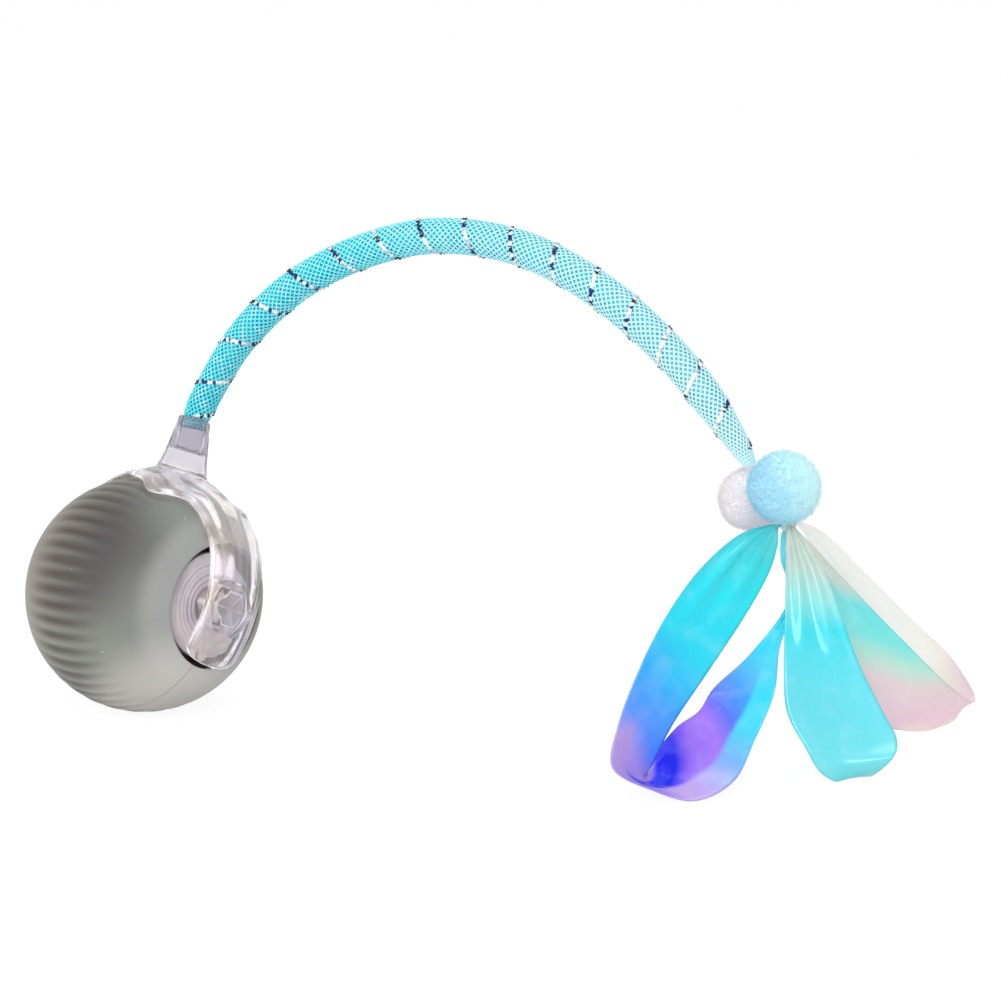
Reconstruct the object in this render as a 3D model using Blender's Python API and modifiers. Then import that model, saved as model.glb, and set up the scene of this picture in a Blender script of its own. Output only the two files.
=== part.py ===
"""Self-rolling cat ball with a clear yoke, a sprung mesh tail, pompoms and film ribbons.

The ball rolls about its axle, which lies along world X. A chassis hangs inside
it between two clear hubs, and its motor drives a ring gear in one shell half.
The yoke clips over both hubs and holds the tail. Lengths are in metres.
"""
import math

import bmesh
import bpy
import numpy as np
from mathutils import Vector

# Clearances that every fit shares
fit_gap = 0.0003
cut_overrun = 0.002

# The ball: a ribbed silicone skin over two hard shell halves
ball_diameter = 0.043
skin_wall = 0.0012
rib_count = 48
rib_depth = 0.0004
rib_fade_start = math.radians(54)
rib_fade_end = math.radians(72)
window_half_angle = math.radians(31.4)
shell_wall = 0.0014
window_lip = 0.0004
collar_wall = 0.0011
lip_length = 0.0015
lip_wall = 0.0008

# The hubs: clear discs in the windows, with a hexagonal post for the yoke
hub_recess = 0.0006
hub_running_gap = 0.0004
hub_disc_thickness = 0.0016
flange_overlap = 0.0005
flange_thickness = 0.0014
bush_wall = 0.0008
journal_wall = 0.0009
journal_length = 0.0031
hub_ring_height = 0.0002
hub_ring_width = 0.0007
hub_ring_shares = (0.56, 0.70, 0.84)
socket_across_flats = 0.0070
socket_floor_gap = 0.0006
pillar_radius = 0.0014
pillar_inset = 0.0005
screw_radius = 0.0006
screw_length = 0.0040
screw_head_radius = 0.0012
screw_head_height = 0.0007

# The yoke: a clear band over both poles, with a stub for the tail
yoke_lean = math.radians(25.5)
yoke_wall = 0.0012
yoke_ridge_height = 0.0003
yoke_ridge_count = 3
yoke_end_angle = math.radians(118)
yoke_round_angle = math.radians(9)
yoke_width_angle_shares = (0, 0.17, 0.30, 0.42, 0.59, 0.76, 1)
yoke_half_width = math.radians(34)
yoke_half_width_shares = (0.91, 1, 0.80, 0.63, 0.53, 0.50, 0.49)
boss_across_flats = 0.0094
boss_floor_gap = 0.0017
stub_base_radius = 0.0047
stub_mouth_radius = 0.0031
stub_length = 0.0114
stub_wall = 0.0007
stub_bore_depth = 0.0066

# The tail tube, the pompoms and the knot that ties the ribbons
tail_radius = 0.00325
tail_seat_depth = 0.0022
tail_swell_length = 0.005
tail_taper_length = 0.017
tail_tip_radius = 0.0008
tail_reach = 0.100
tail_route_shares = (
    (0.025, 0.023, 0.068), (0.060, 0.055, 0.145), (0.115, 0.085, 0.210),
    (0.180, 0.110, 0.260), (0.260, 0.135, 0.300), (0.345, 0.155, 0.328),
    (0.425, 0.173, 0.343), (0.515, 0.187, 0.343), (0.605, 0.200, 0.329),
    (0.687, 0.208, 0.301), (0.765, 0.214, 0.263), (0.833, 0.220, 0.219),
    (0.893, 0.227, 0.171), (0.946, 0.236, 0.118), (0.994, 0.246, 0.060),
    (1.020, 0.255, 0.020), (1.040, 0.262, -0.015),
)
blue_pompom_diameter = 0.0129
white_pompom_diameter = 0.0116
knot_diameter = 0.0030
blue_from_tail_shares = (0.90, 0.03, -0.43)
white_from_blue_shares = (-0.82, 0.49, -0.30)
knot_from_blue_shares = (-0.21, 0.51, -0.83)

# The film ribbons: each is one strip looped back to the knot, as two edges
film_thickness = 0.0004
ribbon_length = 0.050
left_near_shares = (
    (-0.034, -0.072, 0.000), (-0.075, -0.200, -0.022), (-0.120, -0.360, -0.118),
    (-0.145, -0.505, -0.260), (-0.170, -0.630, -0.420), (-0.190, -0.712, -0.580),
    (-0.185, -0.760, -0.700), (-0.090, -0.740, -0.770), (0.048, -0.655, -0.797),
    (0.105, -0.525, -0.760), (0.114, -0.392, -0.646), (0.110, -0.285, -0.520),
    (0.052, -0.156, -0.390), (0.010, -0.052, -0.255), (-0.008, 0.006, -0.120),
    (-0.016, 0.018, -0.050),
)
left_far_shares = (
    (-0.004, -0.052, -0.012), (0.016, -0.092, -0.066), (0.026, -0.166, -0.150),
    (-0.002, -0.272, -0.284), (-0.058, -0.404, -0.454), (-0.120, -0.500, -0.608),
    (-0.180, -0.560, -0.730), (-0.128, -0.520, -0.790), (-0.056, -0.454, -0.797),
    (-0.090, -0.424, -0.720), (-0.126, -0.384, -0.590), (-0.098, -0.308, -0.512),
    (-0.045, -0.170, -0.390), (-0.020, -0.055, -0.262), (-0.030, 0.010, -0.130),
    (-0.042, 0.030, -0.050),
)
middle_near_shares = (
    (0.020, -0.042, -0.014), (0.050, -0.092, -0.130), (0.086, -0.150, -0.284),
    (0.120, -0.208, -0.436), (0.160, -0.250, -0.576), (0.222, -0.252, -0.680),
    (0.296, -0.230, -0.772), (0.276, -0.170, -0.803), (0.200, -0.135, -0.700),
    (0.116, -0.116, -0.560), (0.060, -0.072, -0.370), (0.022, -0.030, -0.180),
    (0.006, 0.006, -0.064),
)
middle_far_shares = (
    (0.036, -0.028, -0.018), (0.094, -0.040, -0.150), (0.178, -0.030, -0.290),
    (0.280, -0.014, -0.448), (0.372, -0.020, -0.590), (0.420, -0.034, -0.688),
    (0.410, -0.092, -0.774), (0.360, -0.070, -0.803), (0.340, 0.034, -0.704),
    (0.262, 0.050, -0.572), (0.150, 0.040, -0.376), (0.056, 0.014, -0.186),
    (0.014, 0.026, -0.066),
)
right_near_shares = (
    (0.024, 0.020, -0.052), (0.076, 0.060, -0.186), (0.130, 0.128, -0.366),
    (0.174, 0.222, -0.548), (0.210, 0.318, -0.726), (0.236, 0.424, -0.795),
    (0.262, 0.524, -0.803), (0.252, 0.600, -0.764), (0.178, 0.580, -0.614),
    (0.082, 0.476, -0.460), (0.016, 0.318, -0.262), (-0.004, 0.160, -0.096),
    (0.002, 0.076, -0.026),
)
right_far_shares = (
    (0.030, 0.044, -0.042), (0.096, 0.130, -0.152), (0.164, 0.266, -0.302),
    (0.240, 0.418, -0.462), (0.312, 0.550, -0.602), (0.338, 0.660, -0.682),
    (0.336, 0.730, -0.708), (0.308, 0.766, -0.682), (0.246, 0.736, -0.566),
    (0.158, 0.620, -0.428), (0.080, 0.444, -0.254), (0.030, 0.236, -0.080),
    (0.010, 0.100, -0.012),
)

# The chassis and what it carries
plate_thickness = 0.0014
tray_thickness = 0.0012
tray_width = 0.018
ring_gear_side_gap = 0.0016
ring_gear_width = 0.0026
ring_gear_wall = 0.0021
ring_teeth = 38
pinion_teeth = 12
pinion_side_inset = 0.0001
gear_backlash = 0.00012
pressure_angle = math.radians(20)
ring_addendum_share = 0.6
pinion_addendum_share = 0.95
dedendum_share = 1.25
pinion_dedendum_share = 1.05
motor_radius = 0.0050
motor_length = 0.0066
motor_front_gap = 0.0013
motor_cap_length = 0.0016
motor_nose_radius = 0.0018
motor_nose_length = 0.0006
shaft_radius = 0.0008
cradle_wrap = 0.0021
cradle_inset = 0.0005
cradle_clearance = 0.0007
ballast_radius = 0.0018
ballast_wall = 0.0010
battery_width = 0.0124
battery_thickness = 0.0054
battery_end_gap = 0.0012
battery_round = 0.0012
board_thickness = 0.0010
board_width = 0.0172
board_gear_gap = 0.0010
post_radius = 0.0009
post_inset = 0.0010
chip_size = 0.0042
chip_height = 0.0009
led_radius = 0.0009
led_height = 0.0022
led_spacing = 0.0036
socket_width = 0.0074
socket_length = 0.0050
socket_height = 0.0026
socket_wall = 0.0004
switch_length = 0.0060
switch_width = 0.0028
switch_height = 0.0020
knob_length = 0.0014
knob_width = 0.0012
knob_height = 0.0014
knob_travel = 0.0015

# The ball's place, with the origin under the middle of the whole object
ball_east = -0.0534
ball_north = -0.0310

# Places that follow from the sizes above
skin_radius = ball_diameter / 2
skin_inside = skin_radius - skin_wall
shell_radius = skin_inside - fit_gap
shell_inside = shell_radius - shell_wall
lip_outside = shell_inside - fit_gap
lip_inside = lip_outside - lip_wall
window_radius = skin_radius * math.sin(window_half_angle)
collar_radius = window_radius - window_lip
collar_outside = collar_radius + collar_wall
shell_rim = math.sqrt(shell_radius**2 - collar_radius**2)
hub_face = shell_rim - hub_recess
hub_back = hub_face - hub_disc_thickness
disc_radius = collar_radius - hub_running_gap
flange_front = hub_back - fit_gap
flange_back = flange_front - flange_thickness
flange_bore = disc_radius - flange_overlap
bush_radius = flange_bore - fit_gap
bush_bore = bush_radius - bush_wall
journal_radius = bush_bore - fit_gap
journal_bore = journal_radius - journal_wall
pillar_place = journal_bore - pillar_inset - pillar_radius
journal_end = hub_back - journal_length
plate_front = journal_end - fit_gap
plate_back = plate_front - plate_thickness
yoke_inside = skin_radius + fit_gap
hub_post_end = yoke_inside - socket_floor_gap
post_across_flats = socket_across_flats - 2 * fit_gap
boss_end = hub_face + boss_floor_gap
stub_base = yoke_inside + yoke_wall / 3
stub_mouth = stub_base + stub_length
tail_seat_radius = stub_mouth_radius - stub_wall - fit_gap
ring_gear_back = plate_back - ring_gear_side_gap
ring_gear_front = ring_gear_back - ring_gear_width
ring_gear_radius = math.sqrt(shell_inside**2 - ring_gear_back**2) - fit_gap
gear_module = (ring_gear_radius - ring_gear_wall) / (ring_teeth / 2 + dedendum_share)
gear_centres = gear_module * (ring_teeth - pinion_teeth) / 2
motor_front = motor_front_gap - ring_gear_front
motor_back = motor_front + motor_length
motor_bore = motor_radius + fit_gap
cradle_front = motor_front + cradle_inset
cradle_back = motor_back - cradle_inset
cradle_bottom = gear_centres + cradle_wrap
cradle_reach = lip_inside - cradle_clearance
cradle_half_width = math.sqrt(cradle_reach**2 - cradle_bottom**2)
ballast_place = cradle_half_width - ballast_wall - fit_gap - ballast_radius
ballast_depth = tray_thickness / 2 + 2 * fit_gap + ballast_radius
battery_bottom = tray_thickness / 2 + fit_gap
board_bottom = battery_bottom + battery_thickness + 2 * fit_gap
board_start = board_gear_gap - ring_gear_front
board_end = plate_back - battery_end_gap
board_top = board_bottom + board_thickness
parts_bottom = board_top + fit_gap
board_middle = (board_start + board_end) / 2
switch_offset = board_width / 2 - fit_gap - switch_width / 2
chip_offset = board_width / 2 - fit_gap - chip_size / 2
ball_place = Vector((ball_east, ball_north, skin_radius))


def clear_scene():
    """Remove every object so that the script can be run again."""
    for item in list(bpy.data.objects):
        bpy.data.objects.remove(item, do_unlink=True)
    for group in list(bpy.data.collections):
        bpy.data.collections.remove(group)


def new_collection(name):
    group = bpy.data.collections.new(name)
    bpy.context.scene.collection.children.link(group)
    return group


clear_scene()
toy = new_collection("rolling_cat_ball")
cutters = new_collection("cutters")


def material(name, colour, roughness, metallic=0.0, alpha=1.0):
    """A Principled material with one plain colour."""
    look = bpy.data.materials.new(name)
    look.use_nodes = True
    shader = look.node_tree.nodes["Principled BSDF"]
    shader.inputs["Base Color"].default_value = (*colour, 1.0)
    shader.inputs["Roughness"].default_value = roughness
    shader.inputs["Metallic"].default_value = metallic
    shader.inputs["Alpha"].default_value = alpha
    look.diffuse_color = (*colour, alpha)
    return look


silicone = material("sage_silicone", (0.30, 0.33, 0.29), 0.55)
dark_plastic = material("dark_plastic", (0.09, 0.08, 0.09), 0.45)
clear_plastic = material("clear_plastic", (0.86, 0.85, 0.90), 0.10, alpha=0.35)
clear_rubber = material("clear_rubber", (0.88, 0.86, 0.90), 0.15, alpha=0.35)
white_nylon = material("white_nylon", (0.85, 0.85, 0.82), 0.50)
steel = material("steel", (0.60, 0.60, 0.62), 0.30, metallic=1.0)
board_green = material("board_green", (0.03, 0.20, 0.08), 0.45)
battery_foil = material("battery_foil", (0.50, 0.52, 0.55), 0.35, metallic=0.6)
black_plastic = material("black_plastic", (0.02, 0.02, 0.02), 0.40)
led_resin = material("led_resin", (0.90, 0.45, 0.45), 0.15)
mesh_blue = material("mesh_blue", (0.15, 0.68, 0.80), 0.45)
pompom_blue_fibre = material("pompom_blue_fibre", (0.45, 0.78, 0.86), 0.95)
pompom_white_fibre = material("pompom_white_fibre", (0.85, 0.84, 0.85), 0.95)
film_blue = material("film_blue", (0.08, 0.45, 0.90), 0.12, alpha=0.85)
film_aqua = material("film_aqua", (0.20, 0.78, 0.80), 0.12, alpha=0.85)
film_pearl = material("film_pearl", (0.60, 0.82, 0.76), 0.12, alpha=0.75)
thread_white = material("thread_white", (0.85, 0.85, 0.85), 0.80)


def frame(name, place, turn=(0, 0, 0), parent=None):
    """An empty that carries pieces; a joint axis is one of its own axes."""
    empty = bpy.data.objects.new(name, None)
    toy.objects.link(empty)
    empty.location = place
    empty.rotation_euler = turn
    empty.parent = parent
    return empty


right_angle = math.pi / 2
ball_frame = frame("ball_frame", ball_place)
right_frame = frame("right_axle_frame", (0, 0, 0), (0, right_angle, 0), ball_frame)
left_frame = frame("left_axle_frame", (0, 0, 0), (0, -right_angle, 0), ball_frame)
yoke_frame = frame("yoke_frame", (0, 0, 0), (-yoke_lean, 0, 0), ball_frame)
pinion_frame = frame(
    "pinion_frame", (0, 0, -gear_centres), (0, -right_angle, 0), ball_frame
)


def add_object(name, mesh, look, parent=None, place=(0, 0, 0), turn=(0, 0, 0)):
    """Link a mesh as a named piece, or as a cutter when it has no material."""
    piece = bpy.data.objects.new(name, mesh)
    if look is None:
        cutters.objects.link(piece)
        piece.hide_render = True
        piece.display_type = "WIRE"
    else:
        toy.objects.link(piece)
        mesh.materials.append(look)
    piece.parent = parent
    piece.location = place
    piece.rotation_euler = turn
    return piece


def smooth(mesh):
    mesh.shade_smooth()
    mesh.set_sharp_from_angle(angle=math.radians(40))


def cylinder(name, radius, start, end, look=None, segments=24, **placing):
    """A cylinder along its own Z, from start to end."""
    mesh = bpy.data.meshes.new(name)
    shape = bmesh.new()
    bmesh.ops.create_cone(
        shape, cap_ends=True, segments=segments, radius1=radius, radius2=radius,
        depth=end - start,
    )
    bmesh.ops.translate(shape, vec=(0, 0, (start + end) / 2), verts=shape.verts)
    shape.to_mesh(mesh)
    shape.free()
    if segments > 6:
        smooth(mesh)
    return add_object(name, mesh, look, **placing)


def box(name, low, high, look=None, round_radius=0.0, **placing):
    """A box between two corners, with rounded edges if a radius is given."""
    low, high = Vector(low), Vector(high)
    mesh = bpy.data.meshes.new(name)
    shape = bmesh.new()
    bmesh.ops.create_cube(shape, size=1)
    bmesh.ops.scale(shape, vec=high - low, verts=shape.verts)
    bmesh.ops.translate(shape, vec=(low + high) / 2, verts=shape.verts)
    shape.to_mesh(mesh)
    shape.free()
    piece = add_object(name, mesh, look, **placing)
    if round_radius > 0:
        bevel = piece.modifiers.new("rounded_edges", "BEVEL")
        bevel.width = round_radius
        bevel.segments = 2
    return piece


def turned(name, profile, look=None, segments=36, closed=False, **placing):
    """Turn a profile of (radius, height) points about Z with a Screw modifier."""
    mesh = bpy.data.meshes.new(name)
    points = [(radius, 0, height) for radius, height in profile]
    edges = [(i, i + 1) for i in range(len(points) - 1)]
    if closed:
        edges.append((len(points) - 1, 0))
    mesh.from_pydata(points, edges, [])
    piece = add_object(name, mesh, look, **placing)
    screw = piece.modifiers.new("turn", "SCREW")
    screw.steps = segments
    screw.render_steps = segments
    screw.use_merge_vertices = True
    screw.merge_threshold = 0.00001
    screw.use_smooth_shade = False
    return piece


def unite(piece, tool):
    """Join a tool's solid to the piece."""
    modifier = piece.modifiers.new("unite_" + tool.name, "BOOLEAN")
    modifier.operation = "UNION"
    modifier.object = tool


def cut(piece, tool):
    """Cut a tool's solid out of the piece."""
    modifier = piece.modifiers.new("cut_" + tool.name, "BOOLEAN")
    modifier.operation = "DIFFERENCE"
    modifier.object = tool


def arc(radius, start, end, steps):
    """Points (radius, height) on a circle about the ball's centre, by height."""
    start_angle = math.asin(start / radius)
    end_angle = math.asin(end / radius)
    angles = [start_angle + (end_angle - start_angle) * i / steps for i in range(steps + 1)]
    return [(radius * math.cos(a), radius * math.sin(a)) for a in angles]


def smooth_curve(points, per_span):
    """Catmull-Rom points through the given ones, with per_span steps a span."""
    points = [Vector(p) for p in points]
    padded = [2 * points[0] - points[1], *points, 2 * points[-1] - points[-2]]
    result = []
    for a, b, c, d in zip(padded, padded[1:], padded[2:], padded[3:]):
        for step in range(per_span):
            t = step / per_span
            bend = (2 * a - 5 * b + 4 * c - d) * t * t + (3 * b - a - 3 * c + d) * t**3
            result.append((2 * b + (c - a) * t + bend) / 2)
    result.append(points[-1])
    return result


def ribbed_sphere(name, look):
    """The skin's outside: a sphere whose shallow flutes run from pole to pole."""
    mesh = bpy.data.meshes.new(name)
    shape = bmesh.new()
    bmesh.ops.create_uvsphere(
        shape, u_segments=2 * rib_count, v_segments=16, radius=skin_radius
    )
    for vertex in shape.verts:
        polar = math.acos(min(1.0, abs(vertex.co.z) / skin_radius))
        fade = (polar - rib_fade_start) / (rib_fade_end - rib_fade_start)
        fade = min(1.0, max(0.0, fade))
        around = math.atan2(vertex.co.y, vertex.co.x)
        flute = (1 - math.cos(rib_count * around)) / 2
        vertex.co *= 1 - fade * flute * rib_depth / skin_radius
    shape.to_mesh(mesh)
    shape.free()
    return add_object(name, mesh, look, parent=right_frame)


def make_skin():
    """A silicone sleeve, open at both windows."""
    skin = ribbed_sphere("silicone_skin", silicone)
    mesh = bpy.data.meshes.new("skin_hollow")
    shape = bmesh.new()
    bmesh.ops.create_uvsphere(shape, u_segments=40, v_segments=16, radius=skin_inside)
    shape.to_mesh(mesh)
    shape.free()
    cut(skin, add_object("skin_hollow", mesh, None, parent=right_frame))
    reach = skin_radius + cut_overrun
    cut(skin, cylinder("skin_windows", window_radius, -reach, reach,
                       segments=40, parent=right_frame))


def shell_profile(lip):
    """A half shell's section, from its outside over the collar and back inside."""
    seam = fit_gap / 2
    outside = arc(shell_radius, shell_rim, seam, 7)
    inner_top = math.sqrt(shell_inside**2 - collar_outside**2)
    seat = [
        (collar_outside, flange_back), (flange_bore, flange_back),
        (flange_bore, flange_front), (collar_radius, flange_front),
    ]
    if lip:
        inside = [
            (lip_outside, seam), (lip_outside, -lip_length), (lip_inside, -lip_length),
            (lip_inside, lip_length), *arc(shell_inside, lip_length, inner_top, 5),
        ]
    else:
        inside = arc(shell_inside, seam, inner_top, 6)
    return outside + inside + seat


def make_shell():
    turned("shell_right", shell_profile(False), dark_plastic, 40, True, parent=right_frame)
    turned("shell_left", shell_profile(True), dark_plastic, 40, True, parent=left_frame)
    bush = [
        (bush_radius, flange_front), (bush_radius, flange_back),
        (bush_bore, flange_back), (bush_bore, flange_front),
    ]
    turned("bush_right", bush, white_nylon, 32, True, parent=right_frame)
    turned("bush_left", bush, white_nylon, 32, True, parent=left_frame)


def involute_angle(angle):
    return math.tan(angle) - angle


def gear_outline(teeth, root_radius, tip_radius, slack):
    """Points round a gear of involute teeth; the first tooth points along +X."""
    pitch_radius = gear_module * teeth / 2
    base_radius = pitch_radius * math.cos(pressure_angle)
    half_tooth = math.pi / (2 * teeth) + slack / (2 * pitch_radius)
    half_tooth += involute_angle(pressure_angle)
    flank = []
    steps = 2
    for step in range(steps + 1):
        radius = root_radius + (tip_radius - root_radius) * step / steps
        lift = math.acos(min(1.0, base_radius / radius))
        flank.append((radius, half_tooth - involute_angle(lift)))
    outline = []
    for tooth in range(teeth):
        middle = 2 * math.pi * tooth / teeth
        outline += [(radius, middle - half) for radius, half in flank]
        outline += [(radius, middle + half) for radius, half in reversed(flank)]
    return [(radius * math.cos(a), radius * math.sin(a)) for radius, a in outline]


def prism(name, outline, start, end, look=None, **placing):
    """A flat outline in XY, extruded along Z from start to end."""
    curve = bpy.data.curves.new(name, "CURVE")
    curve.dimensions = "2D"
    curve.fill_mode = "BOTH"
    curve.extrude = (end - start) / 2
    spline = curve.splines.new("POLY")
    spline.points.add(len(outline) - 1)
    for point, (x, y) in zip(spline.points, outline):
        point.co = (x, y, 0, 1)
    spline.use_cyclic_u = True
    holder = bpy.data.objects.new(name + "_outline", curve)
    toy.objects.link(holder)
    evaluated = holder.evaluated_get(bpy.context.evaluated_depsgraph_get())
    mesh = bpy.data.meshes.new_from_object(evaluated)
    bpy.data.objects.remove(holder, do_unlink=True)
    shape = bmesh.new()
    shape.from_mesh(mesh)
    bmesh.ops.remove_doubles(shape, verts=shape.verts, dist=0.000001)
    bmesh.ops.translate(shape, vec=(0, 0, (start + end) / 2), verts=shape.verts)
    bmesh.ops.recalc_face_normals(shape, faces=shape.faces)
    shape.to_mesh(mesh)
    shape.free()
    return add_object(name, mesh, look, **placing)


def make_gears():
    """A ring gear in the left shell half, and the motor's pinion inside it."""
    ring = [
        (ring_gear_radius, ring_gear_back), (ring_gear_radius, ring_gear_front),
        (ring_gear_radius / 2, ring_gear_front), (ring_gear_radius / 2, ring_gear_back),
    ]
    gear = turned("ring_gear", ring, white_nylon, 40, True, parent=left_frame)
    pitch_radius = gear_module * ring_teeth / 2
    teeth = gear_outline(
        ring_teeth, pitch_radius - ring_addendum_share * gear_module,
        pitch_radius + dedendum_share * gear_module, gear_backlash,
    )
    # In the left frame +X points up, so half a turn puts a tooth space at the bottom
    cut(gear, prism("ring_teeth", teeth, ring_gear_front - cut_overrun,
                    ring_gear_back + cut_overrun, parent=left_frame,
                    turn=(0, 0, math.pi)))
    pinion_pitch = gear_module * pinion_teeth / 2
    outline = gear_outline(
        pinion_teeth, pinion_pitch - pinion_dedendum_share * gear_module,
        pinion_pitch + pinion_addendum_share * gear_module, -gear_backlash,
    )
    pinion = prism("drive_pinion", outline, ring_gear_front + pinion_side_inset,
                   ring_gear_back - pinion_side_inset, white_nylon,
                   parent=pinion_frame, turn=(0, 0, math.pi))
    cut(pinion, cylinder("pinion_bore", shaft_radius + fit_gap,
                         ring_gear_front - cut_overrun, ring_gear_back + cut_overrun,
                         segments=16, parent=pinion_frame))
    shaft_start = motor_nose_length + fit_gap - motor_front
    cylinder("motor_shaft", shaft_radius, shaft_start, ring_gear_back + pinion_side_inset,
             steel, 16, parent=pinion_frame)


def hub_profile():
    """A clear disc with raised rings, and the journal that the shell turns on."""
    profile = [(0, hub_face)]
    for share in hub_ring_shares:
        ring_inside = share * disc_radius
        ring_outside = ring_inside + hub_ring_width
        profile += [
            (ring_inside, hub_face),
            ((ring_inside + ring_outside) / 2, hub_face + hub_ring_height),
            (ring_outside, hub_face),
        ]
    profile += [
        (disc_radius, hub_face), (disc_radius, hub_back), (journal_radius, hub_back),
        (journal_radius, journal_end), (journal_bore, journal_end),
        (journal_bore, hub_back), (0, hub_back),
    ]
    return profile


def hexagon_radius(across_flats):
    return across_flats / math.sqrt(3)


def make_hub(side, axle_frame, sign):
    """One hub with its hexagonal post, its two pillars and their screws."""
    hub = turned("hub_" + side, hub_profile(), clear_plastic, 32, parent=axle_frame)
    post = cylinder("post_" + side, hexagon_radius(post_across_flats),
                    hub_back + hub_disc_thickness / 2, hub_post_end, segments=6,
                    parent=yoke_frame, turn=(0, sign * right_angle, 0))
    unite(hub, post)
    for number, way in enumerate((-1, 1), start=1):
        place = (way * pillar_place, 0, 0)
        unite(hub, cylinder(f"pillar_{side}_{number}", pillar_radius, journal_end,
                            hub_back + hub_disc_thickness / 2, segments=16,
                            parent=axle_frame, place=place))
        cut(hub, cylinder(f"pillar_hole_{side}_{number}", screw_radius + fit_gap,
                          journal_end - cut_overrun,
                          plate_back - 2 * fit_gap + screw_length, segments=12,
                          parent=axle_frame, place=place))
        head_top = plate_back - fit_gap - screw_head_height
        tip = head_top + screw_head_height + screw_length - 2 * fit_gap
        screw = [
            (0, tip), (screw_radius, tip), (screw_radius, plate_back - fit_gap),
            (screw_head_radius, plate_back - fit_gap), (screw_head_radius, head_top),
            (0, head_top),
        ]
        turned(f"hub_screw_{side}_{number}", screw, steel, 12,
               parent=axle_frame, place=place)


def make_chassis():
    """A tray between two end plates, with a motor cradle below and posts above."""
    half_width = tray_width / 2
    half_tray = tray_thickness / 2
    chassis = box("chassis", (-plate_back - fit_gap, -half_width, -half_tray),
                  (plate_back + fit_gap, half_width, half_tray), white_nylon,
                  parent=ball_frame)
    for side, axle_frame in (("right", right_frame), ("left", left_frame)):
        unite(chassis, cylinder("plate_" + side, journal_radius, plate_back, plate_front,
                                segments=36, parent=axle_frame))
    unite(chassis, box("cradle", (cradle_front, -cradle_half_width, -cradle_bottom),
                       (cradle_back, cradle_half_width, 0), parent=ball_frame))
    for along in (board_start + post_inset, board_end - post_inset):
        for across in (-1, 1):
            place = (along, across * (board_width / 2 - post_inset), 0)
            unite(chassis, cylinder(f"post_{along:.4f}_{across}", post_radius, 0,
                                    board_bottom - fit_gap, segments=12,
                                    parent=ball_frame, place=place))
    cut(chassis, cylinder("motor_bore", motor_bore, cradle_front - cut_overrun,
                          cradle_back + cut_overrun, segments=36, parent=right_frame,
                          place=(gear_centres, 0, 0)))
    for across in (-1, 1):
        place = (ballast_depth, across * ballast_place, 0)
        cut(chassis, cylinder(f"ballast_hole_{across}", ballast_radius + fit_gap,
                              cradle_front - cut_overrun, cradle_back + cut_overrun,
                              segments=20, parent=right_frame, place=place))
        name = "ballast_front" if across < 0 else "ballast_back"
        cylinder(name, ballast_radius, cradle_front + fit_gap, cradle_back - fit_gap,
                 steel, 20, parent=right_frame, place=place)
    for side, axle_frame in (("right", right_frame), ("left", left_frame)):
        for way in (-1, 1):
            place = (way * pillar_place, 0, 0)
            cut(chassis, cylinder(f"plate_hole_{side}_{way}", screw_radius + fit_gap,
                                  plate_back - cut_overrun, plate_front + cut_overrun,
                                  segments=12, parent=axle_frame, place=place))


def make_motor():
    """A small can motor: its can with a nose, and the plastic cap behind it."""
    can_back = motor_back - motor_cap_length - fit_gap
    nose_front = motor_front - motor_nose_length
    can = [
        (0, can_back), (motor_radius, can_back), (motor_radius, motor_front),
        (motor_nose_radius, motor_front), (motor_nose_radius, nose_front), (0, nose_front),
    ]
    turned("motor_can", can, steel, 28, parent=right_frame, place=(gear_centres, 0, 0))
    cylinder("motor_cap", motor_radius, motor_back - motor_cap_length, motor_back,
             white_nylon, 28, parent=right_frame, place=(gear_centres, 0, 0))


def make_electronics():
    """Battery on the tray, and the board above it with what it carries."""
    battery_end = plate_back - battery_end_gap
    half_width = battery_width / 2
    box("battery", (-battery_end, -half_width, battery_bottom),
        (battery_end, half_width, battery_bottom + battery_thickness), battery_foil,
        battery_round, parent=ball_frame)
    half_board = board_width / 2
    box("circuit_board", (board_start, -half_board, board_bottom),
        (board_end, half_board, board_top), board_green, parent=ball_frame)
    socket_end = board_end + fit_gap
    half_socket = socket_width / 2
    half_chip = chip_size / 2
    box("control_chip", (board_middle - half_chip, -chip_offset - half_chip, parts_bottom),
        (board_middle + half_chip, half_chip - chip_offset, parts_bottom + chip_height),
        black_plastic, parent=ball_frame)
    box("charging_socket", (socket_end - socket_length, -half_socket, parts_bottom),
        (socket_end, half_socket, parts_bottom + socket_height), steel, parent=ball_frame)
    cut(bpy.data.objects["charging_socket"],
        box("socket_mouth",
            (socket_end - socket_length + socket_wall, socket_wall - half_socket,
             parts_bottom + socket_wall),
            (socket_end + cut_overrun, half_socket - socket_wall,
             parts_bottom + socket_height - socket_wall), parent=ball_frame))
    for number, across in enumerate((-1, 1), start=1):
        dome = [(0, led_height)]
        dome += [(led_radius * math.sin(a), led_height - led_radius * (1 - math.cos(a)))
                 for a in np.linspace(0, right_angle, 5)[1:]]
        dome += [(led_radius, 0), (0, 0)]
        place = (board_start + led_radius + fit_gap, across * led_spacing / 2,
                 parts_bottom)
        turned(f"led_{number}", dome, led_resin, 14, parent=ball_frame, place=place)


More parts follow.
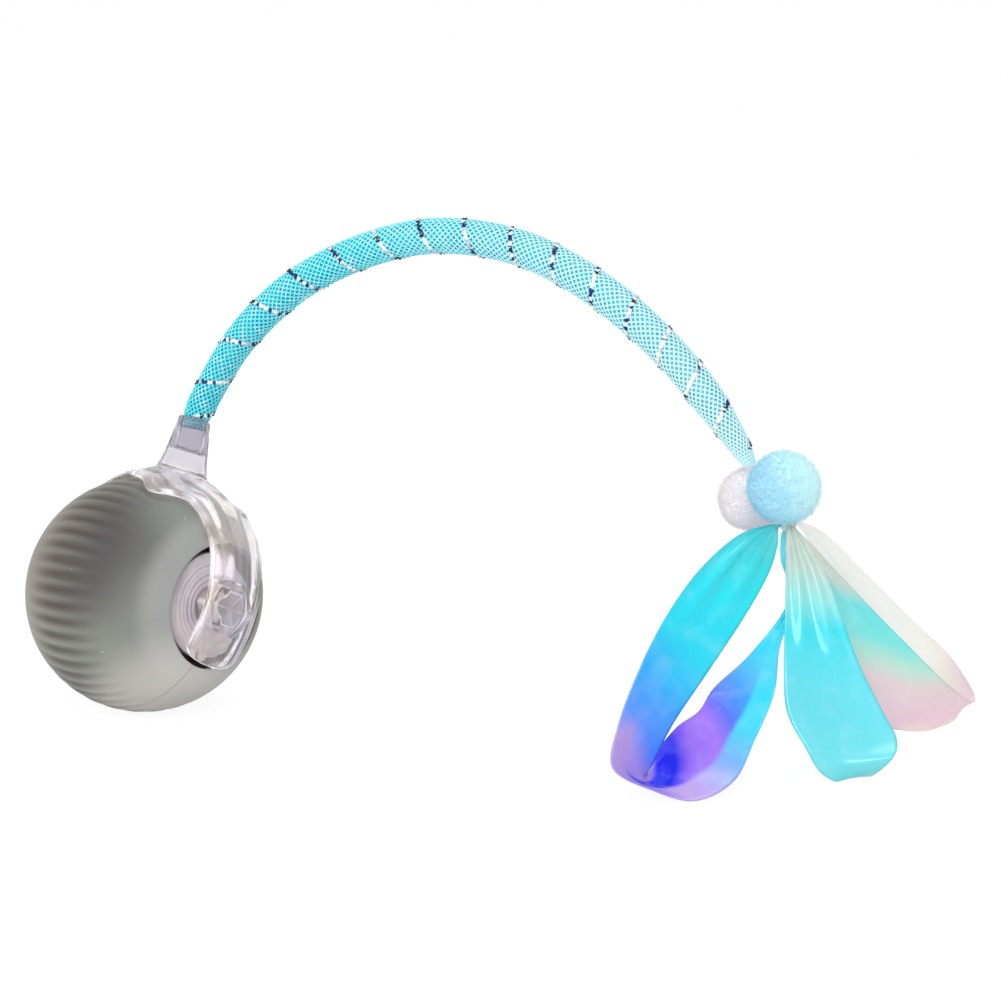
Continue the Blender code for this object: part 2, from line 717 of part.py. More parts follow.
def make_switch():
    """A slide switch on the board; its knob runs in a slot along X."""
    half_length = switch_length / 2
    half_width = switch_width / 2
    top = parts_bottom + switch_height
    floor = top - knob_height / 2
    body = box("switch_body",
               (board_middle - half_length, switch_offset - half_width, parts_bottom),
               (board_middle + half_length, switch_offset + half_width, top), steel,
               parent=ball_frame)
    knob_start = board_middle - knob_travel / 2 - knob_length / 2
    slot_end = knob_start + knob_length + knob_travel + fit_gap
    cut(body, box("switch_slot",
                  (knob_start - fit_gap, switch_offset - knob_width / 2 - fit_gap,
                   floor - fit_gap),
                  (slot_end, switch_offset + knob_width / 2 + fit_gap,
                   top + cut_overrun), parent=ball_frame))
    knob_frame = frame("knob_frame", (knob_start + knob_length / 2, switch_offset, floor),
                       (0, 0, 0), ball_frame)
    box("switch_knob", (-knob_length / 2, -knob_width / 2, 0),
        (knob_length / 2, knob_width / 2, knob_height), black_plastic, parent=knob_frame)


def yoke_band(name):
    """The band as an open sheet; Solidify gives it its wall.

    A point is given by its angle along the arms from the stub and its angle
    across them. Raised ridges run along the arms, two of them on the edges.
    """
    mesh = bpy.data.meshes.new(name)
    shape = bmesh.new()
    bmesh.ops.create_grid(shape, x_segments=38, y_segments=12, size=1)
    for vertex in shape.verts:
        along = vertex.co.x * yoke_end_angle
        share = abs(vertex.co.x)
        half = yoke_half_width * np.interp(
            share, yoke_width_angle_shares, yoke_half_width_shares)
        past = (abs(along) - yoke_end_angle + yoke_round_angle) / yoke_round_angle
        half *= math.sqrt(1 - 0.6 * max(0.0, past) ** 2)
        across = vertex.co.y * half
        wave = (1 + math.cos(math.pi * yoke_ridge_count * (vertex.co.y + 1))) / 2
        radius = yoke_inside + yoke_ridge_height * wave
        vertex.co = radius * Vector((
            math.sin(along) * math.cos(across), math.sin(across),
            math.cos(along) * math.cos(across)))
    bmesh.ops.recalc_face_normals(shape, faces=shape.faces)
    shape.normal_update()
    middle = min(shape.faces, key=lambda face: abs(face.calc_center_median().x))
    if middle.normal.z < 0:
        bmesh.ops.reverse_faces(shape, faces=shape.faces)
    shape.to_mesh(mesh)
    shape.free()
    band = add_object(name, mesh, clear_rubber, parent=yoke_frame)
    wall = band.modifiers.new("wall", "SOLIDIFY")
    wall.thickness = yoke_wall
    wall.offset = 1
    return band


def make_yoke():
    """The band, its hexagonal bosses at the poles and the hollow stub on top."""
    yoke = yoke_band("yoke")
    stub = [
        (0, stub_mouth), (stub_mouth_radius, stub_mouth), (stub_base_radius, stub_base),
        (0, stub_base),
    ]
    unite(yoke, turned("stub", stub, None, 28, parent=yoke_frame))
    for side, sign in (("right", 1), ("left", -1)):
        unite(yoke, cylinder("boss_" + side, hexagon_radius(boss_across_flats),
                             boss_end, yoke_inside + yoke_wall / 2, segments=6,
                             parent=yoke_frame, turn=(0, sign * right_angle, 0)))
        cut(yoke, cylinder("boss_socket_" + side, hexagon_radius(socket_across_flats),
                           boss_end - cut_overrun, yoke_inside, segments=6,
                           parent=yoke_frame, turn=(0, sign * right_angle, 0)))
    cut(yoke, cylinder("stub_bore", stub_mouth_radius - stub_wall,
                       stub_mouth - stub_bore_depth, stub_mouth + cut_overrun,
                       segments=24, parent=yoke_frame))


def along_stub(distance):
    """A point on the stub's axis, measured from the ball's centre."""
    return Vector((0, math.sin(yoke_lean) * distance, math.cos(yoke_lean) * distance))


def tail_route():
    """The tail's centre line in the ball's frame, from the stub to the pompoms."""
    mouth = along_stub(stub_mouth)
    points = [along_stub(stub_mouth - tail_seat_depth), mouth]
    points += [mouth + tail_reach * Vector(share) for share in tail_route_shares]
    return smooth_curve(points, 2)


def make_tail():
    """The mesh tube, narrow in the stub and drawn to a point at the pompoms."""
    route = tail_route()
    curve = bpy.data.curves.new("tail_tube", "CURVE")
    curve.dimensions = "3D"
    curve.bevel_depth = tail_radius
    curve.bevel_resolution = 2
    curve.render_resolution_u = 0
    curve.use_fill_caps = True
    spline = curve.splines.new("POLY")
    spline.points.add(len(route) - 1)
    travelled = 0.0
    lengths = [(b - a).length for a, b in zip(route, route[1:])]
    total = sum(lengths)
    for point, place, length in zip(spline.points, route, [*lengths, 0.0]):
        point.co = (*place, 1)
        swell = (travelled - tail_seat_depth) / tail_swell_length
        swell = min(1.0, max(0.0, swell)) ** 2
        taper = min(1.0, (total - travelled) / tail_taper_length)
        start = tail_seat_radius + (tail_radius - tail_seat_radius) * swell
        end = tail_tip_radius + (tail_radius - tail_tip_radius) * math.sqrt(taper)
        point.radius = min(start, end) / tail_radius
        travelled += length
    tail = bpy.data.objects.new("tail_tube", curve)
    toy.objects.link(tail)
    curve.materials.append(mesh_blue)
    tail.parent = ball_frame
    return route[-1]


def pompom(name, diameter, place, look, rounds=3):
    mesh = bpy.data.meshes.new(name)
    shape = bmesh.new()
    bmesh.ops.create_icosphere(shape, subdivisions=rounds, radius=diameter / 2)
    shape.to_mesh(mesh)
    shape.free()
    smooth(mesh)
    return add_object(name, mesh, look, parent=ball_frame, place=place)


def ribbon(name, near_shares, far_shares, knot, look):
    """A film strip between two edge lines, given its thickness by Solidify."""
    near = smooth_curve([knot + ribbon_length * Vector(s) for s in near_shares], 3)
    far = smooth_curve([knot + ribbon_length * Vector(s) for s in far_shares], 3)
    points = []
    for a, b in zip(near, far):
        points += [a, (a + b) / 2, b]
    faces = []
    for row in range(len(near) - 1):
        first = 3 * row
        for column in (first, first + 1):
            faces.append((column, column + 1, column + 4, column + 3))
    mesh = bpy.data.meshes.new(name)
    mesh.from_pydata(points, [], faces)
    mesh.shade_smooth()
    strip = add_object(name, mesh, look, parent=ball_frame)
    wall = strip.modifiers.new("film", "SOLIDIFY")
    wall.thickness = film_thickness
    wall.offset = 0
    return strip


def make_tail_end(tail_end):
    """Two pompoms side by side, the knot below them and three ribbon loops."""
    to_blue = Vector(blue_from_tail_shares).normalized()
    blue_reach = blue_pompom_diameter / 2 + fit_gap + tail_tip_radius / 2
    blue_place = tail_end + blue_reach * to_blue
    pompom("pompom_blue", blue_pompom_diameter, blue_place, pompom_blue_fibre)
    to_white = Vector(white_from_blue_shares).normalized()
    white_reach = (blue_pompom_diameter + white_pompom_diameter) / 2 + fit_gap
    pompom("pompom_white", white_pompom_diameter, blue_place + white_reach * to_white,
           pompom_white_fibre)
    to_knot = Vector(knot_from_blue_shares).normalized()
    knot_reach = (blue_pompom_diameter + knot_diameter) / 2 + fit_gap
    knot = blue_place + knot_reach * to_knot
    pompom("ribbon_knot", knot_diameter, knot, thread_white, 2)
    ribbon("ribbon_left", left_near_shares, left_far_shares, knot, film_blue)
    ribbon("ribbon_middle", middle_near_shares, middle_far_shares, knot, film_aqua)
    ribbon("ribbon_right", right_near_shares, right_far_shares, knot, film_pearl)


make_skin()
make_shell()
make_gears()
make_hub("right", right_frame, 1)
make_hub("left", left_frame, -1)
make_chassis()
make_motor()
make_electronics()
make_switch()
make_yoke()
make_tail_end(make_tail())
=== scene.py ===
# %% [markdown]
# # A self-rolling cat ball
#
# The toy is a ball in a ribbed silicone sleeve. A clear rubber yoke clips over
# both ends of its axle and carries a springy mesh tail, which arches over to
# two pompoms and three loops of shiny film. This lesson dresses a finished
# mechanical model: the hidden machinery keeps its shapes, and everything that
# shows is worked out again as smooth surfaces.

# %% Load the mechanical model
import math

import bmesh
import bpy
import numpy as np
from mathutils import Matrix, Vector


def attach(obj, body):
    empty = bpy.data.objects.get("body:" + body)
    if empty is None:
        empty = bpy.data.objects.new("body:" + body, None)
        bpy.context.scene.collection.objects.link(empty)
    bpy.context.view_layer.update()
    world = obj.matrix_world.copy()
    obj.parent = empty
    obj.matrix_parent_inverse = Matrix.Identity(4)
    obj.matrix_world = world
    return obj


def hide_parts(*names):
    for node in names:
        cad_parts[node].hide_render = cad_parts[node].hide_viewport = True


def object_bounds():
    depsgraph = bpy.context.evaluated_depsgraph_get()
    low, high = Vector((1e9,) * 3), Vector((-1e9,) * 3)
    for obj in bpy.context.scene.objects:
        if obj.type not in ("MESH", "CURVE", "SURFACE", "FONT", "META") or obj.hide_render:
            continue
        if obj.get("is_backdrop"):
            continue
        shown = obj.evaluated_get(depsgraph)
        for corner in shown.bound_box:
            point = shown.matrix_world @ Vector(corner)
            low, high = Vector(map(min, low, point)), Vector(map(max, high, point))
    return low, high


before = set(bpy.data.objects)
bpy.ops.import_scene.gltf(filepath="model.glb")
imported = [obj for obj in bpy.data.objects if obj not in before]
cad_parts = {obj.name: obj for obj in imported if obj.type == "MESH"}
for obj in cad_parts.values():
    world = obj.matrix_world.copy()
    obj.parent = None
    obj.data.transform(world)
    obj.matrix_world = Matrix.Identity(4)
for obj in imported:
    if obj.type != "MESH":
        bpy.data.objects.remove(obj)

cad_box = [list(corner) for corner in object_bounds()]

# %% [markdown]
# ## Sizes
#
# All lengths are in metres. The ball's centre and radius place everything on
# the ball. The yoke leans back from upright, so its pieces have axes of their
# own: one along the stub, one across the arms and one along the axle.

# %% Sizes of the toy
mm = 0.001
ball = np.array((-53.4, -31.0, 21.5)) * mm
skin_radius = 21.5 * mm
skin_wall = 1.2 * mm
window_radius = skin_radius * math.sin(math.radians(31.4))
yoke_lean = math.radians(25.5)
axle = np.array((1.0, 0.0, 0.0))
stub_way = np.array((0.0, math.sin(yoke_lean), math.cos(yoke_lean)))
across_way = np.array((0.0, math.cos(yoke_lean), -math.sin(yoke_lean)))


def unit(vectors):
    """Vectors of length 1, in the same directions."""
    return vectors / np.maximum(np.linalg.norm(vectors, axis=-1, keepdims=True), 1e-12)


# %% [markdown]
# ## The camera
#
# The photograph was taken from close by, a little above the floor and to the
# right of the toy's front. A camera is its place and three directions: its
# right, its up, and the way back from what it looks at. The lens makes the
# ball's radius 117.6 of the picture's 1001 pixels.

# %% Camera
turn, rise, distance = math.radians(37.7), math.radians(9.9), 440 * mm
picture_width, ball_in_picture = 1001, 117.6
right = np.array((math.cos(turn), math.sin(turn), 0))
back = np.array((math.sin(turn) * math.cos(rise), -math.cos(turn) * math.cos(rise),
                 math.sin(rise)))
up = np.cross(back, right)
looked_at = ball + 65.0 * mm * right + 17.09 * mm * up
camera = bpy.data.objects.new("camera", bpy.data.cameras.new("camera"))
bpy.context.scene.collection.objects.link(camera)
pose = np.eye(4)
pose[:3, 0], pose[:3, 1], pose[:3, 2] = right, up, back
pose[:3, 3] = looked_at + distance * back
camera.matrix_world = Matrix(pose.tolist())
camera.data.sensor_width = 36
camera.data.lens = (camera.data.sensor_width * distance / skin_radius
                    * ball_in_picture / picture_width)
camera.data.clip_start = 0.01
bpy.context.scene.camera = camera
bpy.context.scene.view_settings.view_transform = "Standard"
print("lens:", round(camera.data.lens, 1), "mm")

# %% [markdown]
# ## Shader maths as expressions
#
# A material's look is arithmetic on places and masks. The small class below
# holds one socket, and its operators add the Math nodes, so a formula reads
# as it would on paper. Any other node comes from the finish's one method.

# %% A socket that can be calculated with
class Value:
    """One output socket of a node, with the operators that the finishes use."""

    def __init__(self, finish, socket):
        self.finish, self.socket = finish, socket

    def maths(self, operation, *others):
        """A Math node on this socket and any others."""
        inputs = dict(enumerate((self, *others)))
        return self.finish.node("ShaderNodeMath", {"operation": operation}, inputs)

    def __add__(self, other):
        return self.maths("ADD", other)

    def __sub__(self, other):
        return self.maths("SUBTRACT", other)

    def __rsub__(self, other):
        return self.maths("MULTIPLY", -1.0).maths("ADD", other)

    def __mul__(self, other):
        return self.maths("MULTIPLY", other)

    def __truediv__(self, other):
        return self.maths("DIVIDE", other)

    __radd__ = __add__
    __rmul__ = __mul__

    def length(self, other):
        """The hypotenuse of a right angle with this side and another."""
        return (self * self + other * other).maths("POWER", 0.5)

    def between(self, low, high):
        """0 up to low, 1 from high, and a smooth step in the middle."""
        settings = {"interpolation_type": "SMOOTHSTEP"}
        return self.finish.node("ShaderNodeMapRange", settings,
                                {"Value": self, "From Min": low, "From Max": high})


class Finish:
    """A material under construction; its parts are made by node()."""

    def __init__(self, name, **constants):
        self.material = bpy.data.materials.new(name)
        self.material.use_nodes = True
        self.tree = self.material.node_tree
        self.shader = self.tree.nodes["Principled BSDF"]
        self.set(**constants)

    def node(self, kind, settings=None, inputs=None, output=0):
        """Add a node: its settings first, then the values or links of its sockets."""
        made = self.tree.nodes.new(kind)
        for key, value in (settings or {}).items():
            if key in ("stops", "steps"):
                ramp = made.color_ramp
                ramp.interpolation = "CONSTANT" if key == "steps" else "LINEAR"
                while len(ramp.elements) < len(value):
                    ramp.elements.new(1.0)
                for element, (place, colour) in zip(ramp.elements, value):
                    element.position = place
                    element.color = (*colour, 1.0)
            else:
                setattr(made, key, value)
        for key, value in (inputs or {}).items():
            self.connect(value, made.inputs[key])
        return Value(self, made.outputs[output])

    def connect(self, value, socket):
        """Link a Value to a socket, or write a plain number or colour into it."""
        if isinstance(value, Value):
            self.tree.links.new(value.socket, socket)
        elif isinstance(value, tuple) and len(value) == 3 and socket.type == "RGBA":
            socket.default_value = (*value, 1.0)
        else:
            socket.default_value = value

    def set(self, **sockets):
        """Set the shader's own sockets; base_color stands for Base Color."""
        for key, value in sockets.items():
            self.connect(value, self.shader.inputs[key.replace("_", " ").title()
                                                   .replace("Ior", "IOR")])

    def place(self):
        """The object's own coordinates, as a vector in metres."""
        return self.node("ShaderNodeTexCoord", output="Object")

    def towards(self, way, start):
        """How far a point lies from a start in the direction of a unit vector."""
        total = self.node("ShaderNodeVectorMath", {"operation": "DOT_PRODUCT"},
                          {0: self.place(), 1: tuple(way.tolist())}, output=1)
        return total - float(start @ way)

    def laid(self, axis):
        """X along a strip or Y across it, from the piece's own UV layer."""
        layer = self.node("ShaderNodeUVMap", {"uv_map": "surface"})
        return self.node("ShaderNodeSeparateXYZ", None, {"Vector": layer}, output=axis)

    def mask(self, name):
        """A number that the mesh carries at each of its points."""
        return self.node("ShaderNodeAttribute", {"attribute_name": name}, output="Fac")

    def noise(self, scale, detail=3.0):
        """Smooth noise over the object's own coordinates, from 0 to 1."""
        return self.node("ShaderNodeTexNoise", None,
                         {"Vector": self.place(), "Scale": scale, "Detail": detail})

    def ramp(self, value, stops, kind="stops"):
        """Screen colours at places from 0 to 1, blended, or in steps."""
        colours = [(place, srgb(*colour)) for place, colour in stops]
        return self.node("ShaderNodeValToRGB", {kind: colours}, {"Fac": value})

    def mix(self, factor, first, second):
        """Blend two colours with the Mix node, which keeps them colours."""
        return self.node("ShaderNodeMix", {"data_type": "RGBA"},
                         {"Factor": factor, 6: first, 7: second}, output=2)

    def bump(self, height, distance):
        """Relief for the light only, with the depth that a height of 1 stands for."""
        self.set(normal=self.node("ShaderNodeBump", None,
                                  {"Height": height, "Distance": distance}))


def srgb(red, green, blue):
    """A colour given as 0 to 255 screen values, turned to linear light."""
    screen = np.array((red, green, blue)) / 255
    return tuple((((screen + 0.055) / 1.055) ** 2.4).tolist())

# %% [markdown]
# ## The studio
#
# The photograph has a plain white ground. The floor and the world look white
# to the camera, and to glass and gloss, while the lamps stay at a plain level.
# The floor keeps a soft shadow, because only part of what the camera sees of
# it is white light.

# %% Floor, world and lamps
def seen_directly(nodes, links):
    """1 where a ray comes from the camera, a mirror or glass."""
    path = nodes.new("ShaderNodeLightPath")
    total = path.outputs["Is Camera Ray"]
    for name in ("Is Glossy Ray", "Is Transmission Ray"):
        larger = nodes.new("ShaderNodeMath")
        larger.operation = "MAXIMUM"
        links.new(total, larger.inputs[0])
        links.new(path.outputs[name], larger.inputs[1])
        total = larger.outputs[0]
    return total


world = bpy.data.worlds.new("studio")
bpy.context.scene.world = world
world.use_nodes = True
nodes, links = world.node_tree.nodes, world.node_tree.links
sky = nodes["Background"]
sky.inputs["Color"].default_value = (0.96, 0.97, 1.0, 1)
sky.inputs["Strength"].default_value = 0.42
plain = nodes.new("ShaderNodeBackground")
plain.inputs["Color"].default_value = (1, 1, 1, 1)
choose = nodes.new("ShaderNodeMixShader")
links.new(seen_directly(nodes, links), choose.inputs["Fac"])
links.new(sky.outputs[0], choose.inputs[1])
links.new(plain.outputs[0], choose.inputs[2])
links.new(choose.outputs[0], nodes["World Output"].inputs["Surface"])

floor_mesh = bpy.data.meshes.new("floor")
floor_mesh.from_pydata([(-3, -3, 0), (3, -3, 0), (3, 3, 0), (-3, 3, 0)], [], [(0, 1, 2, 3)])
floor = bpy.data.objects.new("floor", floor_mesh)
bpy.context.scene.collection.objects.link(floor)
floor_finish = Finish("white_floor", base_color=(0.85, 0.85, 0.85), roughness=0.9,
                      specular_ior_level=0.1)
nodes, links = floor_finish.tree.nodes, floor_finish.tree.links
glow = floor_finish.node("ShaderNodeEmission", None,
                         {"Color": (1.0, 1.0, 1.0), "Strength": 1.13})
matt = Value(floor_finish, floor_finish.shader.outputs[0])
away = floor_finish.node("ShaderNodeVectorMath", {"operation": "LENGTH"},
                         {0: floor_finish.place()}, output=1)
seen = Value(floor_finish, seen_directly(nodes, links))
share = seen * (0.80 + away.between(0.12, 0.40) * 0.20)
choose = floor_finish.node("ShaderNodeMixShader", None, {"Fac": share, 1: matt, 2: glow})
links.new(choose.socket, nodes["Material Output"].inputs["Surface"])
floor_mesh.materials.append(floor_finish.material)
floor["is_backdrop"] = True


def lamp(name, place, size, watts):
    """A square soft box that faces the toy."""
    data = bpy.data.lights.new(name, "AREA")
    data.size = size
    data.energy = watts
    item = bpy.data.objects.new(name, data)
    bpy.context.scene.collection.objects.link(item)
    away = unit(np.array(place) - looked_at)
    side = unit(np.cross((0, 0, 1), away))
    matrix = np.eye(4)
    matrix[:3, 0], matrix[:3, 1], matrix[:3, 2] = side, np.cross(away, side), away
    matrix[:3, 3] = place
    item.matrix_world = Matrix(matrix.tolist())


lamp("key", (0.42, -0.62, 0.34), 0.36, 3.2)
lamp("fill", (-0.50, -0.58, 0.28), 0.5, 2.0)
lamp("top", (0.05, 0.15, 0.80), 0.5, 2.3)

# %% [markdown]
# ## Surfaces from grids of points
#
# Every new piece is a grid of points worked out with numpy: one parameter
# runs along it and the other round it. The helpers below turn a grid into
# faces, close it where it goes round, and hand the piece to its body.

# %% Grid helpers
dressed = bpy.data.collections.new("dressed")
bpy.context.scene.collection.children.link(dressed)


def grid_faces(rows, columns, wrap_rows=False, wrap_columns=False):
    """Corner numbers of the quads between neighbouring rows and columns."""
    i = np.arange(rows if wrap_rows else rows - 1)[:, None]
    j = np.arange(columns if wrap_columns else columns - 1)[None, :]
    next_i, next_j = (i + 1) % rows, (j + 1) % columns
    corners = (i * columns + j, next_i * columns + j, next_i * columns + next_j,
               i * columns + next_j)
    return np.stack(np.broadcast_arrays(*corners), -1).reshape(-1, 4)


def tube_faces(rows, columns):
    """The quads of a tube, and its first and last ring as one many-sided face each."""
    ring = np.arange(columns)[None]
    return [grid_faces(rows, columns, False, True), ring[:, ::-1],
            ring + (rows - 1) * columns]


def through(points, per_span):
    """A Catmull-Rom curve through the points: each span is a cubic whose slope
    at a point is half the step between that point's neighbours."""
    points = np.asarray(points, float)
    padded = np.concatenate((2 * points[:1] - points[1:2], points,
                             2 * points[-1:] - points[-2:-1]))
    a, b, c, d = padded[:-3, None], padded[1:-2, None], padded[2:-1, None], padded[3:, None]
    t = (np.arange(per_span) / per_span)[None, :, None]
    spans = (2 * b + (c - a) * t + (2 * a - 5 * b + 4 * c - d) * t**2
             + (3 * b - a - 3 * c + d) * t**3) / 2
    return np.concatenate((spans.reshape(-1, points.shape[1]), points[-1:]))


def piece(name, points, faces, finish, body, replaces=(), uv=None, masks=None,
          fix_normals=True):
    """Make a mesh object from arrays and hand it to its body."""
    mesh = bpy.data.meshes.new(name)
    mesh.from_pydata(np.asarray(points).reshape(-1, 3).tolist(), [],
                     [face for block in faces for face in block.tolist()])
    if fix_normals:
        shape = bmesh.new()
        shape.from_mesh(mesh)
        bmesh.ops.recalc_face_normals(shape, faces=shape.faces)
        shape.to_mesh(mesh)
        shape.free()
    if uv is not None:
        corners = np.empty(len(mesh.loops), np.int32)
        mesh.loops.foreach_get("vertex_index", corners)
        layer = mesh.uv_layers.new(name="surface")
        layer.data.foreach_set("uv", np.asarray(uv, np.float32).reshape(-1, 2)[corners].ravel())
    for key, values in (masks or {}).items():
        layer = mesh.attributes.new(key, "FLOAT", "POINT")
        layer.data.foreach_set("value", np.asarray(values, np.float32).ravel())
    mesh.shade_smooth()
    mesh.materials.append(finish.material)
    item = bpy.data.objects.new(name, mesh)
    dressed.objects.link(item)
    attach(item, body)
    for node in replaces:
        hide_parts(node)
    print(name, "faces:", len(mesh.polygons))
    return item


def round_axle(profile, count, sign=1, wave=None):
    """Turn (radius, distance along the axle) points round the axle: a point at
    angle a is the distance along X, and radius times (cos a, sin a) in Y, Z."""
    profile = np.asarray(profile, float)
    angle = np.linspace(0, 2 * np.pi, count, endpoint=False)[:, None]
    change = np.zeros((count, 1)) if wave is None else wave(angle, profile)
    radius = profile[None, :, 0] + change
    along = np.broadcast_to(sign * profile[None, :, 1], radius.shape)
    return ball + np.stack((along, radius * np.cos(angle), radius * np.sin(angle)), -1)

# %% [markdown]
# ## The silicone sleeve
#
# The sleeve is a ball with a round window at each end of the axle. Shallow
# flutes run like meridians round its waist and fade out towards the windows.
# The flutes are real geometry, because they show in the outline. A fine
# parting line from the mould crosses the ball in a plane that holds the axle.

# %% Sleeve surface
rib_count = 48
rib_depth, rib_power = 0.4 * mm, 0.8
rib_start, rib_fade = math.radians(59), math.radians(26)
edge = 0.3 * mm
sleeve_around = 12 * rib_count


def sleeve_profile():
    """Half the section: the outer arc, the rounded window edge and the inside."""
    start = math.asin((window_radius + edge) / skin_radius)
    polar = np.linspace(start, math.pi - start, 110)
    outer = np.stack((skin_radius * np.sin(polar), skin_radius * np.cos(polar)), -1)
    inner_radius = skin_radius - skin_wall
    lip_outer = math.sqrt(skin_radius**2 - (window_radius + edge) ** 2)
    bend = np.linspace(0, math.pi / 2, 5)[1:]
    lip = np.stack((window_radius + edge * (1 - np.sin(bend)),
                    lip_outer - edge * 0.55 * (1 - np.cos(bend))), -1)
    low = math.asin(window_radius / inner_radius)
    polar = np.linspace(low, math.pi - low, 24)
    inner = np.stack((inner_radius * np.sin(polar), inner_radius * np.cos(polar)), -1)
    return np.concatenate((outer, lip * (1, -1), inner[::-1], lip[::-1]))


def flutes(angle, profile):
    """Flute depth: a cosine round the axle, widened by a power, times a fade by
    polar angle, on the outside only."""
    length = np.hypot(profile[:, 0], profile[:, 1])
    polar = np.arccos(np.abs(profile[:, 1]) / length)
    fade = np.clip((polar - rib_start) / rib_fade, 0, 1)
    fade = fade * fade * (3 - 2 * fade) * (length > skin_radius - 0.1 * mm)
    dip = ((1 - np.cos(rib_count * angle)) / 2) ** rib_power
    return -rib_depth * dip * fade * profile[:, 0] / length


profile = sleeve_profile()
sleeve_points = round_axle(profile, sleeve_around, wave=flutes)
angle = np.linspace(0, 2 * np.pi, sleeve_around, endpoint=False)[:, None]
valley = np.clip(-flutes(angle, profile) / rib_depth, 0, 1)

# %% [markdown]
# The silicone is matt sage, and its colour drifts at random over the ball.
# Painted shade makes it duller above, painted light makes it paler below and
# round one window, and a painted reflection makes one side browner, with
# painted shade in the flutes of that side. A few specks of lint cling to it.
# The parting line is a hair of darker colour and a small step.

# %% Silicone finish
silicone = Finish("sage_silicone", specular_ior_level=0.3, coat_weight=0.05,
                  coat_roughness=0.45)
drift = silicone.noise(60, 2)
flute_shade = silicone.mask("valley")


def nearness(way):
    """How far a point lies towards a direction from the ball's centre: -1 to 1."""
    return silicone.towards(way, ball) / skin_radius


shade_above_way = unit(np.array((0.08, -0.80, 0.58)))
brown_reflection_way = unit(np.array((-0.90, -0.33, 0.15)))
bounce_light_way = unit(np.array((0.60, -0.22, -0.77)))
seam_way = np.array((0.095, 0.906, -0.413))
sage = silicone.mix(drift.between(0.3, 0.7), srgb(128, 131, 126), srgb(136, 138, 130))
# Painted shade: the sleeve turns duller towards the top.
sage = silicone.mix(nearness(shade_above_way).between(0.58, 1.0), sage, srgb(76, 74, 74))
# Painted light: the sleeve turns paler round one window.
sage = silicone.mix(nearness(axle).between(0.62, 0.76) * 0.5, sage, srgb(174, 173, 170))
# Painted reflection: one side of the sleeve turns browner.
sage = silicone.mix(nearness(brown_reflection_way).between(0.0, 0.8) * 0.6, sage, srgb(152, 145, 134))
# Painted shade: the flutes on the browner side are darkened to deep brown.
sage = silicone.mix(flute_shade * nearness(brown_reflection_way).between(-0.5, 0.5) * 0.8, sage,
                    srgb(54, 40, 25))
# Painted light: the sleeve turns paler towards the bottom.
sage = silicone.mix(nearness(bounce_light_way).between(0.6, 1.0) * 0.85, sage, srgb(206, 202, 196))
seam = silicone.towards(seam_way, ball).maths("ABSOLUTE")
seam_line = 1 - seam.between(0.04 * mm, 0.13 * mm)
sage = silicone.mix(seam_line * 0.45, sage, srgb(104, 96, 88))
lint = silicone.noise(900, 1).between(0.79, 0.83)
sage = silicone.mix(lint * 0.7, sage, srgb(215, 214, 208))
silicone.set(base_color=sage, roughness=0.46 + drift * 0.14)
grain = silicone.noise(2600, 2)
silicone.bump(grain * 0.25 - seam_line, 0.04 * mm)
piece("sleeve", sleeve_points, [grid_faces(sleeve_around, len(profile), True, True)],
      silicone, "shell", ["silicone_skin"], masks={"valley": valley})

# %% [markdown]
# ## The clear hubs
#
# Each window holds a clear disc with fine raised rings, like the bottom of a
# moulded cup. It is turned round the axle from one profile. Its hexagonal
# post, which holds the yoke, stands on it as a piece of its own. Painted shade
# darkens the post's flats and the disc's sunk rim, and painted highlights
# brighten the post's corners and far rim.

# %% Hub surfaces
collar_radius = window_radius - 0.4 * mm
shell_rim = math.sqrt((20 * mm) ** 2 - collar_radius**2)
hub_face = shell_rim - 0.6 * mm
hub_back = hub_face - 1.6 * mm
disc_radius = collar_radius - 0.4 * mm
face_start, sink_start, face_radius = 3.9 * mm, 5.5 * mm, 9.4 * mm
ring_pitch, ring_height, face_sink = 0.95 * mm, 0.054 * mm, 0.35 * mm
bell_height, bell_width = 0.12 * mm, 0.3 * mm
journal_radius, journal_bore, journal_depth = 8.5 * mm, 7.6 * mm, 3.1 * mm
disc_around, prism_around = 192, 96
ease_start, ease_span, ease_depth = 0.40, 0.1236, 0.4
post_flats, boss_flats, socket_flats = 6.4 * mm, 9.4 * mm, 7.0 * mm


def hub_profile():
    """The disc's face, a step down to its rim, and the journal. The face has fine
    cosine rings and three bell-shaped ridges, and sinks as a cube near its edge."""
    radius = np.linspace(face_start, face_radius, 150)
    rings = ring_height * (1 + np.cos(2 * np.pi * radius / ring_pitch))
    sunk = np.clip((radius - sink_start) / (face_radius - sink_start), 0, 1) ** 3 * face_sink
    ridges = sum(bell_height * np.exp(-(((radius - share * disc_radius) / bell_width) ** 2))
                 for share in (0.58, 0.72, 0.86))
    face = np.stack((radius, hub_face - sunk + rings + ridges), -1)
    step, inward = face_radius + 0.15 * mm, hub_back - journal_depth
    rest = np.array([
        (step, hub_face - 0.6 * mm), (step, hub_face - 1.35 * mm),
        (disc_radius, hub_face - 1.4 * mm), (disc_radius, hub_back),
        (disc_radius - 0.5 * mm, hub_back), (journal_radius, hub_back),
        (journal_radius, inward), (journal_bore, inward),
        (journal_bore, hub_back), (0.01 * mm, hub_back)])
    middle = np.array([(0.01 * mm, hub_face), (3.6 * mm, hub_face)])
    return np.concatenate((middle, face, rest))


